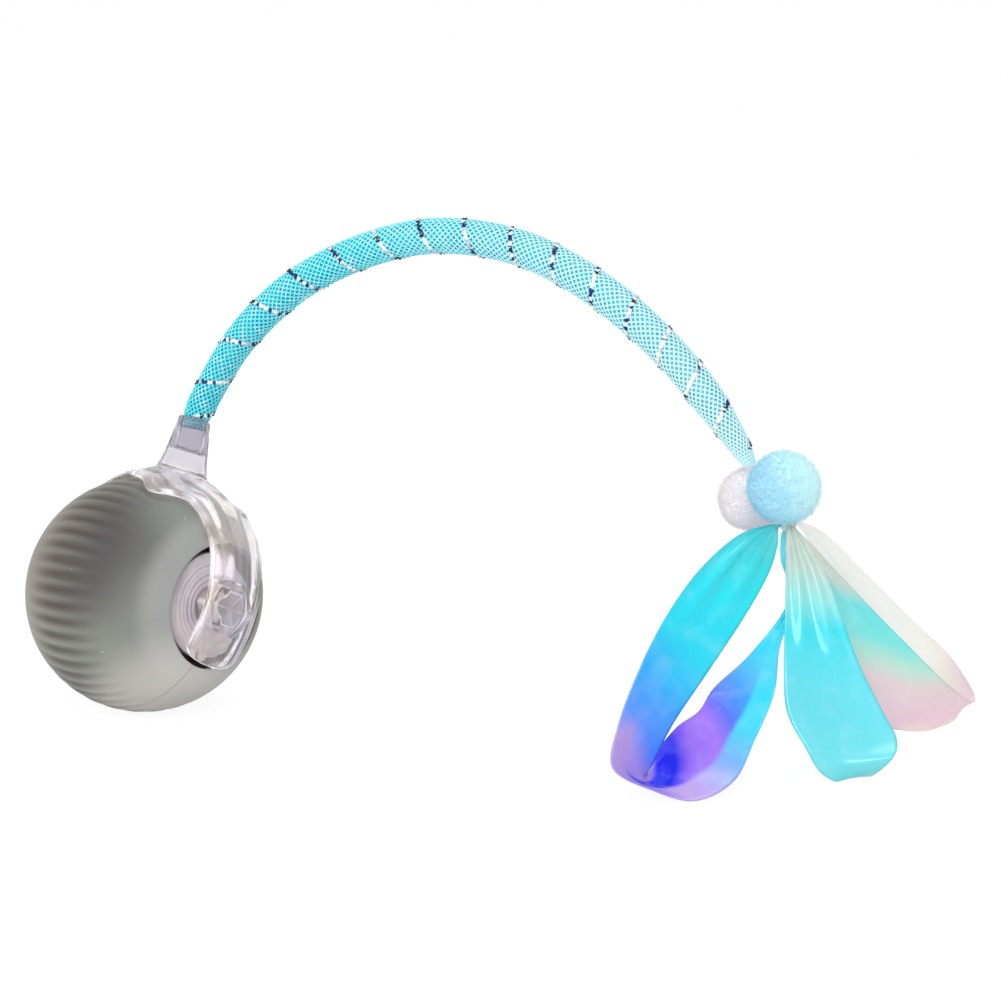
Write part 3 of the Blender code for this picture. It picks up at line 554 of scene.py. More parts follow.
def prism_points(across_flats, start, end, sign, corner=0.35 * mm, bevel=0.25 * mm):
    """A hexagon with rounded corners, carried along the axle with soft ends.

    Its outline is a hexagon of half-width h: the distance to the side at angle
    a is h divided by the cosine of a taken from the nearest flat, less a square
    that grows to the corner. The flats face along the arms."""
    angle = np.linspace(0, 2 * np.pi, prism_around, endpoint=False)
    from_flat = (angle + np.pi / 6) % (np.pi / 3) - np.pi / 6
    half = across_flats / 2
    eased = np.clip((np.abs(from_flat) - ease_start) / ease_span, 0, 1) ** 2
    radius = half / np.cos(from_flat) - corner * eased * ease_depth
    steps = np.array([(0.02, start), (1 - bevel / half, start), (1, start + bevel),
                      (1, end - bevel), (1 - bevel / half, end), (0.8, end), (0.02, end)])
    around = (np.cos(angle)[:, None] * stub_way + np.sin(angle)[:, None] * across_way)
    ring = radius[:, None] * around
    return (ball + steps[None, :, :1] * ring[:, None, :]
            + sign * steps[None, :, 1:] * axle)


clear = Finish("clear_hub", transmission_weight=0.12, ior=1.46)
haze = clear.noise(240, 3)
milky = clear.mix(haze.between(0.35, 0.7), srgb(206, 200, 208), srgb(224, 214, 218))
off_axle = clear.towards(across_way, ball).length(clear.towards(stub_way, ball))
# Painted shade: the disc's sunk rim, beyond its ringed face, is darkened.
rim = off_axle.between(face_radius + 0.05 * mm, face_radius + 0.2 * mm)
# Painted shade on the post's flats and painted highlights on its corners and far rim.
facet = clear.mask("facet")
milky = clear.mix(facet.between(0.0, 0.4), milky, srgb(150, 142, 152))
milky = clear.mix(facet.between(0.5, 0.9), milky, srgb(255, 252, 252))
clear.set(base_color=clear.mix(rim, milky, srgb(56, 46, 58)),
          roughness=0.12 + haze * 0.14)
clear.bump(clear.noise(420, 2), 0.03 * mm)
profile = hub_profile()
for side, sign in (("right", 1), ("left", -1)):
    disc = round_axle(profile, disc_around, sign)
    piece("hub_disc_" + side, disc, [grid_faces(*disc.shape[:2], True, True)],
          clear, "carrier", ["hub_" + side])
    post = prism_points(post_flats, hub_face + 0.02 * mm, 21.1 * mm, sign)
    # Painted light on the post: 0.4 gives shaded flats, 1 gives highlighted corners and far
    # rim.
    post_shade_and_highlight = np.full(post.shape[:2], 0.4)
    post_shade_and_highlight[prism_around // 12::prism_around // 6] = 1
    post_shade_and_highlight[:, 3:5] = 1
    piece("hub_post_" + side, post, [grid_faces(*post.shape[:2], True, True)],
          clear, "carrier", masks={"facet": post_shade_and_highlight})

# %% [markdown]
# ## The clear yoke
#
# One soft clear moulding: a band over the ball with a wide saddle on top, a
# tapered stub for the tail, and a hexagonal boss at each end of the axle. The
# band's section is a flat strip with thick rounded beads on its edges and
# ridges along it, carried round the ball. The pieces overlap, so a Boolean
# joins them into one skin, which clear rubber needs: an inner wall would show.

# %% Yoke band
band_end = math.radians(118)
width_table = np.radians(((0, 10, 18, 24, 28, 32, 36, 45, 60, 90, 118),
                          (31, 33, 36.5, 37.5, 35, 28, 23, 20.5, 18.5, 17, 16.7)))
left_table = np.radians(((0, 6, 14, 24, 36, 118), (31, 27, 21.5, 18.5, 17, 16.7)))
yoke_inside = skin_radius + 0.3 * mm
band_wall, band_close, close_power = 1.2 * mm, math.radians(11), 3.4
bead_height, bead_place, bead_spread, ridge_height = 0.45 * mm, 0.90, 0.085, 0.29 * mm
foot, mouth_height, bore_floor = 22.1 * mm, 33.6 * mm, 27.0 * mm
stub_wide, stub_narrow, stub_flare, stub_bore = 4.75 * mm, 2.98 * mm, 1.2 * mm, 2.5 * mm
sway = np.array((-0.42, -0.28, 0.18)) * mm


def band_points(rows=300, around=72):
    """A point on the band by its angle f along the arms and its place s round
    the section. Half the width follows the right arm's table, smoothed, or the
    left arm's, and closes at each end as a square with round corners: the root
    of 1 less a power of the share. The left arm's beads and ridges are lower."""
    f = band_end * np.sin(np.linspace(-math.pi / 2, math.pi / 2, rows) * 0.995)
    fine = np.linspace(0, band_end, 400)
    kernel = np.hanning(25) / np.hanning(25).sum()
    table = np.convolve(np.pad(np.interp(fine, *width_table), 12, mode="reflect"),
                        kernel, "valid")
    half = np.where(f < 0, np.interp(-f, *left_table), np.interp(f, fine, table))
    past = np.clip((np.abs(f) - band_end) / band_close + 1, 0, 1)
    close = np.maximum(1 - past**close_power, 0) ** (1 / close_power)
    half = half * np.maximum(close, 0.03)
    s = np.linspace(0, 2 * np.pi, around, endpoint=False)
    wide = np.sign(np.cos(s)) * np.abs(np.cos(s)) ** 0.55
    thick = np.sign(np.sin(s)) * np.abs(np.sin(s)) ** 0.8
    beads = bead_height * np.exp(-(((np.abs(wide) - bead_place) / bead_spread) ** 2))
    ridges = ridge_height * (1 + np.cos(3.5 * math.pi * wide)) * (np.abs(wide) < 0.85)
    lowered = 0.35 + 0.65 * np.clip(1 + f / math.radians(6), 0, 1)[:, None]
    height = band_wall / 2 * (1 + thick) + lowered * (thick > 0) * (beads + ridges) * thick
    radius = yoke_inside + height * (0.55 + 0.45 * close[:, None])
    cross = half[:, None] * wide[None, :]
    f = f[:, None]
    local = np.stack((np.sin(f) * np.cos(cross), np.sin(cross), np.cos(f) * np.cos(cross)), -1)
    basis = np.stack((axle, across_way, stub_way))
    return ball + (radius[..., None] * local) @ basis


def stub_points(count=120):
    """The stub is turned about its own axis: a flared foot, a straight taper, a
    rolled mouth, and the bore down to its floor. Twelve faint waves run round
    it, and the tail pulls it over a little."""
    t = np.linspace(0, 1, 26)
    outer_r = stub_wide + (stub_narrow - stub_wide) * t + stub_flare * np.exp(-t * 10)
    outer_z = foot + (mouth_height - foot) * t
    rolled = np.array([(0.48, -0.20), (0.40, -0.04), (0.28, 0.0), (0.12, -0.04), (0.0, -0.25)])
    profile = np.concatenate((
        [(0.01 * mm, foot)], np.stack((outer_r, outer_z), -1)[:-1],
        (stub_bore, mouth_height) + rolled * mm,
        [(stub_bore, bore_floor + 0.6 * mm), (stub_bore - 0.5 * mm, bore_floor + 0.1 * mm),
         (0.01 * mm, bore_floor)]))
    angle = np.linspace(0, 2 * np.pi, count, endpoint=False)[:, None, None]
    around = np.cos(angle) * axle + np.sin(angle) * across_way
    wavy = profile[None, :, :1] * (1 + 0.012 * np.cos(12 * angle))
    height = profile[None, :, 1:]
    lean = sway * np.clip((height - foot) / (mouth_height - foot), 0, 1) ** 1.5
    return ball + wavy * around + height * stub_way + lean


def solid(name, points, wrap_rows, wrap_columns):
    """A closed helper mesh for the Boolean, with its normals outward."""
    mesh = bpy.data.meshes.new(name)
    faces = grid_faces(*points.shape[:2], wrap_rows, wrap_columns)
    mesh.from_pydata(points.reshape(-1, 3).tolist(), [], faces.tolist())
    shape = bmesh.new()
    shape.from_mesh(mesh)
    holes = [e for e in shape.edges if e.is_boundary]
    if holes:
        bmesh.ops.holes_fill(shape, edges=holes, sides=0)
    bmesh.ops.recalc_face_normals(shape, faces=shape.faces)
    shape.to_mesh(mesh)
    shape.free()
    item = bpy.data.objects.new(name, mesh)
    bpy.context.scene.collection.objects.link(item)
    return item


yoke = solid("yoke_body", band_points(), False, True)
helpers = [("UNION", solid("stub", stub_points(), True, False))]
for sign in (1, -1):
    boss = prism_points(boss_flats, hub_face + 1.7 * mm, 22.4 * mm, sign, bevel=0.3 * mm)
    socket = prism_points(socket_flats, hub_face + 1.0 * mm, yoke_inside, sign,
                          bevel=0.05 * mm)
    helpers.append(("UNION", solid("boss", boss, True, False)))
    helpers.append(("DIFFERENCE", solid("socket", socket, True, False)))
for operation, helper in helpers:
    modifier = yoke.modifiers.new(helper.name, "BOOLEAN")
    modifier.operation = operation
    modifier.object = helper
evaluated = yoke.evaluated_get(bpy.context.evaluated_depsgraph_get())
yoke_mesh = bpy.data.meshes.new_from_object(evaluated)
yoke.modifiers.clear()
yoke.data = yoke_mesh
for _, helper in helpers:
    bpy.data.objects.remove(helper, do_unlink=True)
yoke_mesh.shade_smooth()
yoke_mesh.set_sharp_from_angle(angle=math.radians(50))
print("yoke faces:", len(yoke_mesh.polygons))

# %% [markdown]
# Painted highlights glow a little in the clear rubber's beads, its ridges, the
# pads beside the boss and a line near the band's ends. The masks find these places
# from the angle f along the arm and the share of the half-width across it. The stub is hazier.

# %% Clear rubber finish
rubber = Finish("clear_rubber", transmission_weight=0.90, ior=1.42, emission_strength=0.3)
cloud = rubber.noise(150, 3)
tint = rubber.mix(cloud.between(0.38, 0.66), srgb(255, 248, 244), srgb(240, 238, 250))
on_axle, on_across, on_stub = [rubber.towards(way, ball)
                               for way in (axle, across_way, stub_way)]
tint = rubber.mix(on_stub.between(21.5 * mm, 24.5 * mm) * 0.75, tint, srgb(206, 204, 216))
f = on_axle.maths("ABSOLUTE").maths("ARCTAN2", on_stub)
flat = on_axle.length(on_stub)
aside = on_across.maths("ABSOLUTE").maths("ARCTAN2", flat)
angles, halves = width_table[:, [0, 3, 5, 6, 7, 8, 10]]
stops = [(float(a / math.pi), (float(h),) * 3) for a, h in zip(angles, halves)]
share = aside / rubber.node("ShaderNodeValToRGB", {"stops": stops}, {"Fac": f / math.pi})
bead = share.between(0.74, 0.86) * (1 - share.between(0.96, 1.04))
streaks = (share * 11).maths("SINE").between(0.6, 1.0) * (1 - share.between(0.6, 0.7))
pad = (f.between(0.93, 0.97) * (1 - f.between(1.32, 1.38)) * share.between(0.25, 0.35)
       * (1 - share.between(0.85, 0.95)) * (1 - on_across.between(-0.5 * mm, 0.5 * mm))
       * on_axle.between(0, 1 * mm))
on_band = 1 - flat.length(on_across).between(23.6 * mm, 24.4 * mm)
lip = f.between(1.97, 2.01)
# Painted highlights, given out as emission.
painted_highlight = ((bead * 0.75 + streaks * 0.35 + pad * 0.8 + lip * 0.5) * on_band
         * cloud.between(0.32, 0.62))
rubber.set(base_color=tint, roughness=0.02 + cloud * 0.06,
           emission_color=rubber.mix(painted_highlight, (0.0, 0.0, 0.0), srgb(255, 244, 240)))
rubber.bump(rubber.noise(260, 2) + rubber.noise(90, 1) * 2, 0.09 * mm)
yoke_mesh.materials.clear()
yoke_mesh.materials.append(rubber.material)
for group in list(yoke.users_collection):
    group.objects.unlink(yoke)
dressed.objects.link(yoke)
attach(yoke, "carrier")
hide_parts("yoke")

# %% [markdown]
# ## The mesh tail
#
# The tail is a tube of fine net, woven from filaments that wind both ways,
# with a strand of tinsel laid in it. The centre line is a smooth curve through
# a few points from the stub to the pompoms. Each filament is a helix round
# that line, and all filaments are worked out together as one array.

# %% Tail centre line
tail_reach = 100 * mm
tail_route_shares = np.array((
    (218, 210, 700), (577, 537, 1469), (1127, 838, 2128), (1772, 1089, 2646),
    (2572, 1343, 3063), (3428, 1549, 3350), (4240, 1736, 3494), (5150, 1881, 3479),
    (6054, 2010, 3318), (6875, 2088, 3027), (7653, 2144, 2637), (8331, 2201, 2192),
    (8929, 2269, 1709), (9456, 2356, 1175), (9930, 2451, 591), (10189, 2540, 191),
    (10394, 2614, -155),
)) / 10000
mouth = ball + mouth_height * stub_way
route = np.concatenate(([mouth + 0.9 * sway - 2.2 * mm * stub_way, mouth + sway],
                        mouth + tail_reach * tail_route_shares))
rough = through(route, 40)
steps = np.linalg.norm(np.diff(rough, axis=0), axis=1)
rough_at = np.concatenate(([0], np.cumsum(steps)))
tail_length = rough_at[-1]
tail_end = route[-1]
print("tail length:", round(tail_length / mm, 1), "mm")


def on_line(at):
    """The points of the centre line at distances along it."""
    return np.stack([np.interp(at, rough_at, rough[:, k]) for k in range(3)], -1)


def tail_frame(at):
    """Centre, across and upward directions of the tail at distances along it."""
    along = unit(on_line(at + 0.3 * mm) - on_line(at - 0.3 * mm))
    side = unit(np.cross(along, (0.0, 1.0, 0.0)))
    return on_line(at), side, np.cross(side, along)


tail_sizes = mm * np.array((
    (0, 1.6, 5, 13, 18, 23, 40, 60, 105, 118, 140),
    (2.3, 2.3, 2.8, 2.9, 3.0, 3.13, 3.2, 3.25, 3.25, 3.05, 3.0)))
drawn_in, tip_radius, tip_growth = 17 * mm, 0.75 * mm, 2.5 * mm


def tail_radius(at):
    """The net's radius: from the table, small in the stub and slowly full outside
    it, and drawn in at the tip as the square root of the length that is left."""
    left = np.clip((tail_length - at) / drawn_in, 0, 1)
    return np.minimum(np.interp(at, *tail_sizes), tip_radius + tip_growth * np.sqrt(left))


def on_tail(at, angle, lift):
    """Points on the tube at distance at, angle round it and lift above the net."""
    centre, side, above = tail_frame(at)
    out = np.cos(angle)[..., None] * side + np.sin(angle)[..., None] * above
    return centre + (tail_radius(at) + lift)[..., None] * out, out


def strands(at, angle, lift, width, thick, twist=0.0):
    """Give every path a flat four-cornered section: width along the net, thick
    outward, turned by a twist. A path is one row of a (strand, station) array."""
    middle, out = on_tail(at, angle, lift)
    ahead = unit(np.gradient(middle, axis=1))
    sideways = unit(np.cross(ahead, out))
    turned = np.broadcast_to(twist, at.shape)[..., None]
    sideways, out = (sideways * np.cos(turned) + out * np.sin(turned),
                     out * np.cos(turned) - sideways * np.sin(turned))
    corners = [(-1, -1), (1, -1), (1, 1), (-1, 1)]
    return np.stack([middle + sideways * (a * width / 2) + out * (b * thick / 2)
                     for a, b in corners], 2)


def strand_faces(count, stations):
    """Tube faces and two end caps for each strand."""
    return [block + number * stations * 4
            for block in tube_faces(stations, 4) for number in range(count)]

# %% The net
net_count, net_stations = 18, 300
net_pitch = 21 * mm
at = np.linspace(0.05 * mm, tail_length - 0.05 * mm, net_stations)[None, :]
first = 2 * np.pi * np.arange(net_count)[:, None] / net_count
net_parts = []
for way in (1, -1):
    angle = first + way * 2 * np.pi * at / net_pitch
    ride = 0.05 * mm * way * np.cos(net_count * angle / 2)
    net_parts.append(strands(np.broadcast_to(at, angle.shape), angle,
                             ride - 0.13 * mm, width=0.27 * mm, thick=0.12 * mm))
net_points = np.concatenate(net_parts)
net_uv = np.stack(np.broadcast_arrays(at[..., None] / tail_length,
                                      np.zeros(net_points.shape[:3])), -1)

net = Finish("blue_net", specular_ior_level=0.3)
strong = net.ramp(net.laid("X"), [(0.0, (92, 232, 246)), (0.35, (120, 240, 250)),
                                  (0.62, (186, 248, 254)), (1.0, (210, 251, 255))])
fleck = net.noise(700, 1)
net.set(base_color=net.mix(fleck.between(0.5, 0.66) * 0.4, strong, srgb(222, 250, 253)),
        roughness=0.25 + fleck * 0.2)
net.bump(net.noise(1500, 1), 0.03 * mm)
piece("tail_net", net_points, strand_faces(2 * net_count, net_stations), net, "carrier",
      ["tail_tube"], uv=net_uv, fix_normals=False)

# %% The clear blue core
core_stations, core_around = 420, 40
core_at, angle = np.broadcast_arrays(
    np.linspace(0.2 * mm, tail_length - 0.2 * mm, core_stations)[:, None],
    np.linspace(0, 2 * np.pi, core_around, endpoint=False)[None, :])
core_points, _ = on_tail(core_at, angle, np.full(core_at.shape, -0.55 * mm))
core_uv = np.stack((core_at / tail_length, angle / (2 * np.pi)), -1)
core = Finish("blue_core", specular_ior_level=0.2)
depth = core.ramp(core.laid("X"), [(0.0, (0, 178, 200)), (0.3, (36, 202, 220)),
                                   (0.6, (104, 218, 242)), (1.0, (136, 226, 248))])
cloud = core.noise(220, 2)
core.set(base_color=core.mix(cloud.between(0.4, 0.7) * 0.3, depth, srgb(110, 224, 242)),
         roughness=0.35 + cloud * 0.2, alpha=0.66 + cloud * 0.12)
core.bump(cloud, 0.1 * mm)
piece("tail_core", core_points, tube_faces(core_stations, core_around), core, "carrier",
      uv=core_uv)

# %% [markdown]
# The tinsel winds once round the tail for each place in the table of turns. It
# twists to and fro as it goes, and its flat side is cut into short dashes of
# silver and dark blue, darker on the upper half of each turn.

# %% The tinsel
tinsel_stations = 4200
turns_at = np.array((3.3, 10.2, 19.3, 28.2, 37.1, 46.0, 55.0, 63.6, 72.5, 81.5, 90.4, 99.1,
                     107.3, 115.1, 122.7, 130.3, 138.2)) * mm
tinsel_at = np.linspace(2.6 * mm, tail_length - 2.5 * mm, tinsel_stations)[None, :]
number = np.interp(tinsel_at, turns_at, np.arange(len(turns_at)))
front = np.interp(tinsel_at, (0, tail_length), (-2.2, -0.9))
tinsel_angle = front - 2 * np.pi * number
tinsel_twist = 0.5 * np.sin(2 * np.pi * tinsel_at / (0.40 * mm))
tinsel_points = strands(tinsel_at, tinsel_angle, np.full(tinsel_at.shape, -0.02 * mm),
                        width=0.78 * mm, thick=0.05 * mm, twist=tinsel_twist)
tinsel_uv = np.stack([np.broadcast_to(row[..., None], tinsel_points.shape[:3])
                      for row in (tinsel_at / mm, number % 1)], -1)
tinsel = Finish("tinsel")
dashes = tinsel.node("ShaderNodeTexWhiteNoise", {"noise_dimensions": "1D"},
                     {"W": (tinsel.laid("X") * 3.6).maths("FLOOR")})
turn_share = tinsel.laid("Y")
upper = turn_share.between(0.55, 0.60) * (1 - turn_share.between(0.93, 0.97))
foil = tinsel.ramp(dashes * 0.7 + upper * 0.3, [
    (0.0, (250, 250, 252)), (0.38, (196, 206, 220)), (0.46, (14, 34, 110)),
    (0.64, (8, 24, 60)), (0.90, (250, 240, 246))], kind="steps")
tinsel.set(base_color=foil, metallic=0.1 + dashes * 0.4, roughness=0.18 + dashes * 0.25)
piece("tinsel", tinsel_points, strand_faces(1, tinsel_stations), tinsel, "carrier",
      uv=tinsel_uv, fix_normals=False)

# %% [markdown]
# ## The pompoms
#
# A real pompom is a bundle of fine fibres tied in the middle and trimmed round.
# Only its outer layer shows, so each one here is a lumpy ball with about five
# thousand short curved fibres standing on it. Every fibre is a thin tapered
# prism of eleven faces.

# %% Fibre balls
blue_size, white_size, knot_size = 12.9 * mm, 11.6 * mm, 3.0 * mm
apart = 0.3 * mm
to_blue, to_white, to_knot = unit(np.array(
    ((0.90, 0.03, -0.43), (-0.82, 0.49, -0.30), (-0.21, 0.51, -0.83))))
blue_place = tail_end + (blue_size / 2 + 0.7 * mm) * to_blue
white_place = blue_place + ((blue_size + white_size) / 2 + apart) * to_white
knot_place = blue_place + ((blue_size + knot_size) / 2 + apart) * to_knot


def even_directions(count):
    """Directions spread evenly over a ball: each turns by the golden angle while
    its height drops by the same step."""
    number = np.arange(count) + 0.5
    turn = number * math.pi * (3 - math.sqrt(5))
    height = 1 - 2 * number / count
    flat = np.sqrt(1 - height**2)
    return np.stack((flat * np.cos(turn), flat * np.sin(turn), height), -1)


def lumps(direction, seed):
    """A few broad soft swellings: cosines of the direction along random ways."""
    ways = unit(np.random.default_rng(seed).normal(size=(9, 3)))
    return np.cos(direction @ ways.T * 5.2 + np.arange(9)).mean(-1)


def pompom(name, centre, size, count, seed, finish, node):
    """A lumpy ball and its fibres, as two pieces. A fibre's path rises from its
    root and leans over: its lean grows as a square along it."""
    random = np.random.default_rng(seed)
    rows, columns, lumpy = 48, 96, 0.035
    polar = np.linspace(0.002, math.pi - 0.002, rows)[:, None]
    turn = np.linspace(0, 2 * np.pi, columns, endpoint=False)[None, :]
    ways = np.stack(np.broadcast_arrays(np.sin(polar) * np.cos(turn),
                                        np.sin(polar) * np.sin(turn), np.cos(polar)), -1)
    body_radius = size / 2 * (0.90 + lumpy * lumps(ways, seed))
    piece(name, centre + body_radius[..., None] * ways, tube_faces(rows, columns), finish,
          "carrier", [node])
    ways = unit(even_directions(count) + random.normal(scale=0.03, size=(count, 3)))
    root = size / 2 * (0.88 + lumpy * lumps(ways, seed))
    lean = unit(np.cross(ways, random.normal(size=(count, 3))))
    reach = size / 2 * random.uniform(0.10, 0.17, (count, 1, 1))
    t = np.linspace(0, 1, 4)[None, :, None]
    path = (centre + ways[:, None] * (root[:, None, None] + reach * t * (1 - 0.25 * t))
            + lean[:, None] * reach * (0.25 * t + 1.1 * t**2))
    across = np.cross(lean, ways)[:, None]
    width = 0.055 * mm * (1 - 0.75 * t)
    corners = ((1, 0), (-0.5, 0.87), (-0.5, -0.87))
    hair = np.stack([path + width * (a * lean[:, None] + b * across) for a, b in corners], 2)
    starts = np.arange(count)[:, None, None] * 12
    blocks = [(block[None] + starts).reshape(-1, block.shape[1])
              for block in tube_faces(4, 3)]
    piece(name + "_fibres", hair, blocks, finish, "carrier")


def fibre_finish(name, centre, first, second, third):
    """Matt fibre: two drifting tints, with painted light that makes one side of
    the ball paler, a third tint in small flecks, and a faint painted glow."""
    made = Finish(name, sheen_weight=0.35, sheen_roughness=0.5, emission_strength=0.12)
    broad = made.noise(130, 2)
    fine = made.noise(1400, 2)
    # Painted light: the fibres turn paler towards one side.
    side = made.towards(painted_light_side, centre).between(-5 * mm, 6 * mm)
    tint = made.mix((broad + side * 1.6) * 0.45, srgb(*first), srgb(*second))
    tint = made.mix(fine.between(0.45, 0.7) * 0.3, tint, srgb(*third))
    # The tint is also given out faintly as emission: a painted glow.
    made.set(base_color=tint, emission_color=tint, roughness=0.8 + fine * 0.15)
    made.bump(fine, 0.06 * mm)
    return made


# The painted light falls from the camera's right and a little above.
painted_light_side = unit(right + 0.25 * up)
blue_fibre = fibre_finish("blue_fibre", blue_place, (140, 206, 232), (216, 252, 253),
                          (232, 252, 254))
white_fibre = fibre_finish("white_fibre", white_place, (232, 226, 224), (236, 236, 246),
                           (254, 252, 252))
pompom("pompom_blue_ball", blue_place, blue_size, 5200, 11, blue_fibre,
       "pompom_blue")
pompom("pompom_white_ball", white_place, white_size, 4600, 12, white_fibre,
       "pompom_white")

# %% [markdown]
# ## The knot
#
# White thread ties the ribbons and pompoms to the tail's end. It is one long
# path that winds round a small ball while the plane of winding turns, so the
# turns cross each other as wound thread does.

# %% Wound thread
thread_stations, thread_around, thread_turns = 900, 6, 26
thread_radius = 0.14 * mm
t = np.linspace(0, 1, thread_stations)
around = 2 * np.pi * thread_turns * t
tilt = unit(np.stack((np.cos(2.1 * np.pi * t) * 0.75, np.sin(2.1 * np.pi * t) * 0.75,
                      0.8 + 0.3 * np.cos(5 * np.pi * t)), -1))
first = unit(np.cross(tilt, (0.3, 0.9, 0.2)))
second = np.cross(tilt, first)
out = np.cos(around)[:, None] * first + np.sin(around)[:, None] * second
path = knot_place + (knot_size / 2 - 0.16 * mm + 0.04 * mm * np.sin(37 * t))[:, None] * out
ahead = unit(np.gradient(path, axis=0))
across = unit(np.cross(ahead, out))
ring = np.linspace(0, 2 * np.pi, thread_around, endpoint=False)[None, :, None]
thread = path[:, None] + thread_radius * (np.cos(ring) * out[:, None]
                                          + np.sin(ring) * across[:, None])
cotton = Finish("white_thread", roughness=0.75)
twist = cotton.noise(1800, 2)
cotton.set(base_color=cotton.mix(twist, srgb(206, 214, 218), srgb(246, 248, 248)))
cotton.bump(twist, 0.05 * mm)
piece("knot_thread", thread, tube_faces(thread_stations, thread_around), cotton,
      "carrier", ["ribbon_knot"])

# %% [markdown]
# ## The film ribbons
#
# Each ribbon is one strip of pearly film whose two ends meet in the knot. The
# two edge lines are smooth curves through measured points, in thousandths of
# the ribbon's length from the knot, and between them the film bows a little
# across its width. The colour follows the strip, as the film's interference
# colours follow its bend, and its two faces differ.

# %% Ribbon surfaces
ribbon_length = 50 * mm
film, flat_width = 0.12 * mm, 10 * mm
bow_share, pleat_share, pleat_reach, root_share = 0.035, 0.10, 26 * mm, 0.3
left_edges = np.array((
    ((-34, -72, 0), (-75, -200, -22), (-120, -360, -118), (-152, -505, -254),
     (-174, -630, -416), (-197, -712, -589), (-181, -760, -714), (-43, -740, -766),
     (69, -655, -801), (132, -525, -755), (125, -392, -651), (132, -285, -511),
     (34, -90, -402), (21, 30, -260), (-8, 6, -120), (-16, 18, -50)),
    ((-4, -52, -12), (16, -92, -66), (26, -166, -150), (-2, -272, -284), (-58, -404, -454),
     (-120, -500, -608), (-166, -560, -749), (-190, -560, -784), (-170, -520, -708),
     (-133, -460, -633), (-87, -400, -584), (-85, -308, -521), (-60, -120, -435),
     (8, 0, -267), (-30, 10, -130), (-42, 30, -50)))) / 1000
middle_edges = np.array((
    ((20, -42, -14), (50, -92, -130), (86, -150, -284), (120, -208, -436),
     (160, -250, -576), (234, -252, -687), (280, -230, -768), (314, -170, -801),
     (200, -135, -700), (116, -116, -560), (60, -72, -370), (22, -30, -180), (6, 6, -64)),
    ((61, -28, -19), (167, -40, -140), (230, -30, -282), (297, -14, -445), (391, -20, -586),
     (453, -34, -667), (471, -92, -718), (370, -70, -801), (340, 34, -704), (262, 50, -572),
     (150, 40, -376), (56, 14, -186), (14, 26, -66)))) / 1000
right_edges = np.array((
    ((24, 20, -52), (41, 60, -190), (95, 128, -372), (137, 222, -552), (198, 318, -726),
     (240, 424, -775), (317, 507, -773), (318, 669, -749), (218, 597, -637),
     (82, 476, -460), (16, 318, -262), (-4, 160, -96), (2, 76, -26)),
    ((30, 44, -42), (96, 130, -152), (164, 266, -302), (240, 418, -462), (312, 550, -602),
     (338, 660, -682), (349, 730, -717), (309, 801, -698), (246, 736, -566),
     (158, 620, -428), (80, 444, -254), (30, 236, -80), (10, 100, -12)))) / 1000


def ribbon(name, edges, finish, node, per_span=12, columns=21):
    """A closed thin strip: its front and back grids lie half the film's
    thickness either side of the middle surface, and faces round the rim join
    them. Its ends run on into the knot, for a share of the way back to its
    centre, and are gathered in pleats, which fade out along the strip."""
    near, far = [through(knot_place + ribbon_length * np.array(
        [line[0] * root_share, *line, line[-1] * root_share]), per_span) for line in edges]
    rows = len(near)
    v = np.linspace(0, 1, columns)[None, :, None]
    middle = near[:, None] * (1 - v) + far[:, None] * v
    down = np.gradient(middle, axis=0)
    across = np.gradient(middle, axis=1)
    normal = unit(np.cross(across, down))
    wide = np.linalg.norm(far - near, axis=1)[:, None, None]
    bow = bow_share * wide * np.sin(math.pi * v)
    u = np.concatenate(([0], np.cumsum(np.linalg.norm(
        np.diff(middle[:, columns // 2], axis=0), axis=1))))
    ends = np.minimum(u, u[-1] - u)[:, None, None]
    gathered = np.clip(1 - ends / pleat_reach, 0, 1)
    pleats = pleat_share * wide * gathered * np.sin(5 * math.pi * v)
    middle = middle + normal * (bow + pleats)
    front, rear = middle + normal * film / 2, middle - normal * film / 2
    points = np.concatenate((front.reshape(-1, 3), rear.reshape(-1, 3)))
    count = rows * columns
    rim = np.concatenate((np.arange(columns), np.arange(2, rows) * columns - 1,
                          count - 1 - np.arange(columns),
                          np.arange(rows - 2, 0, -1) * columns))
    after = np.roll(rim, -1)
    rims = np.stack((rim, after, after + count, rim + count), -1)
    grid = np.stack(np.broadcast_arrays(u[:, None] / u[-1], v[0, :, 0][None, :]), -1)
    side = np.repeat((1.0, 0.0), count)
    quads = grid_faces(rows, columns)
    item = piece(name, points, [quads, quads[:, ::-1] + count, rims], finish, "carrier",
                 [node], uv=np.concatenate((grid, grid)), masks={"inner": side})
    patches = np.cross(np.diff(middle, axis=0)[:, :-1], np.diff(middle, axis=1)[:-1])
    area = np.linalg.norm(patches, axis=-1).sum()
    print(name, "length", round(u[-1] / mm, 1), "mm, area", round(area * 1e6, 1), "mm2")


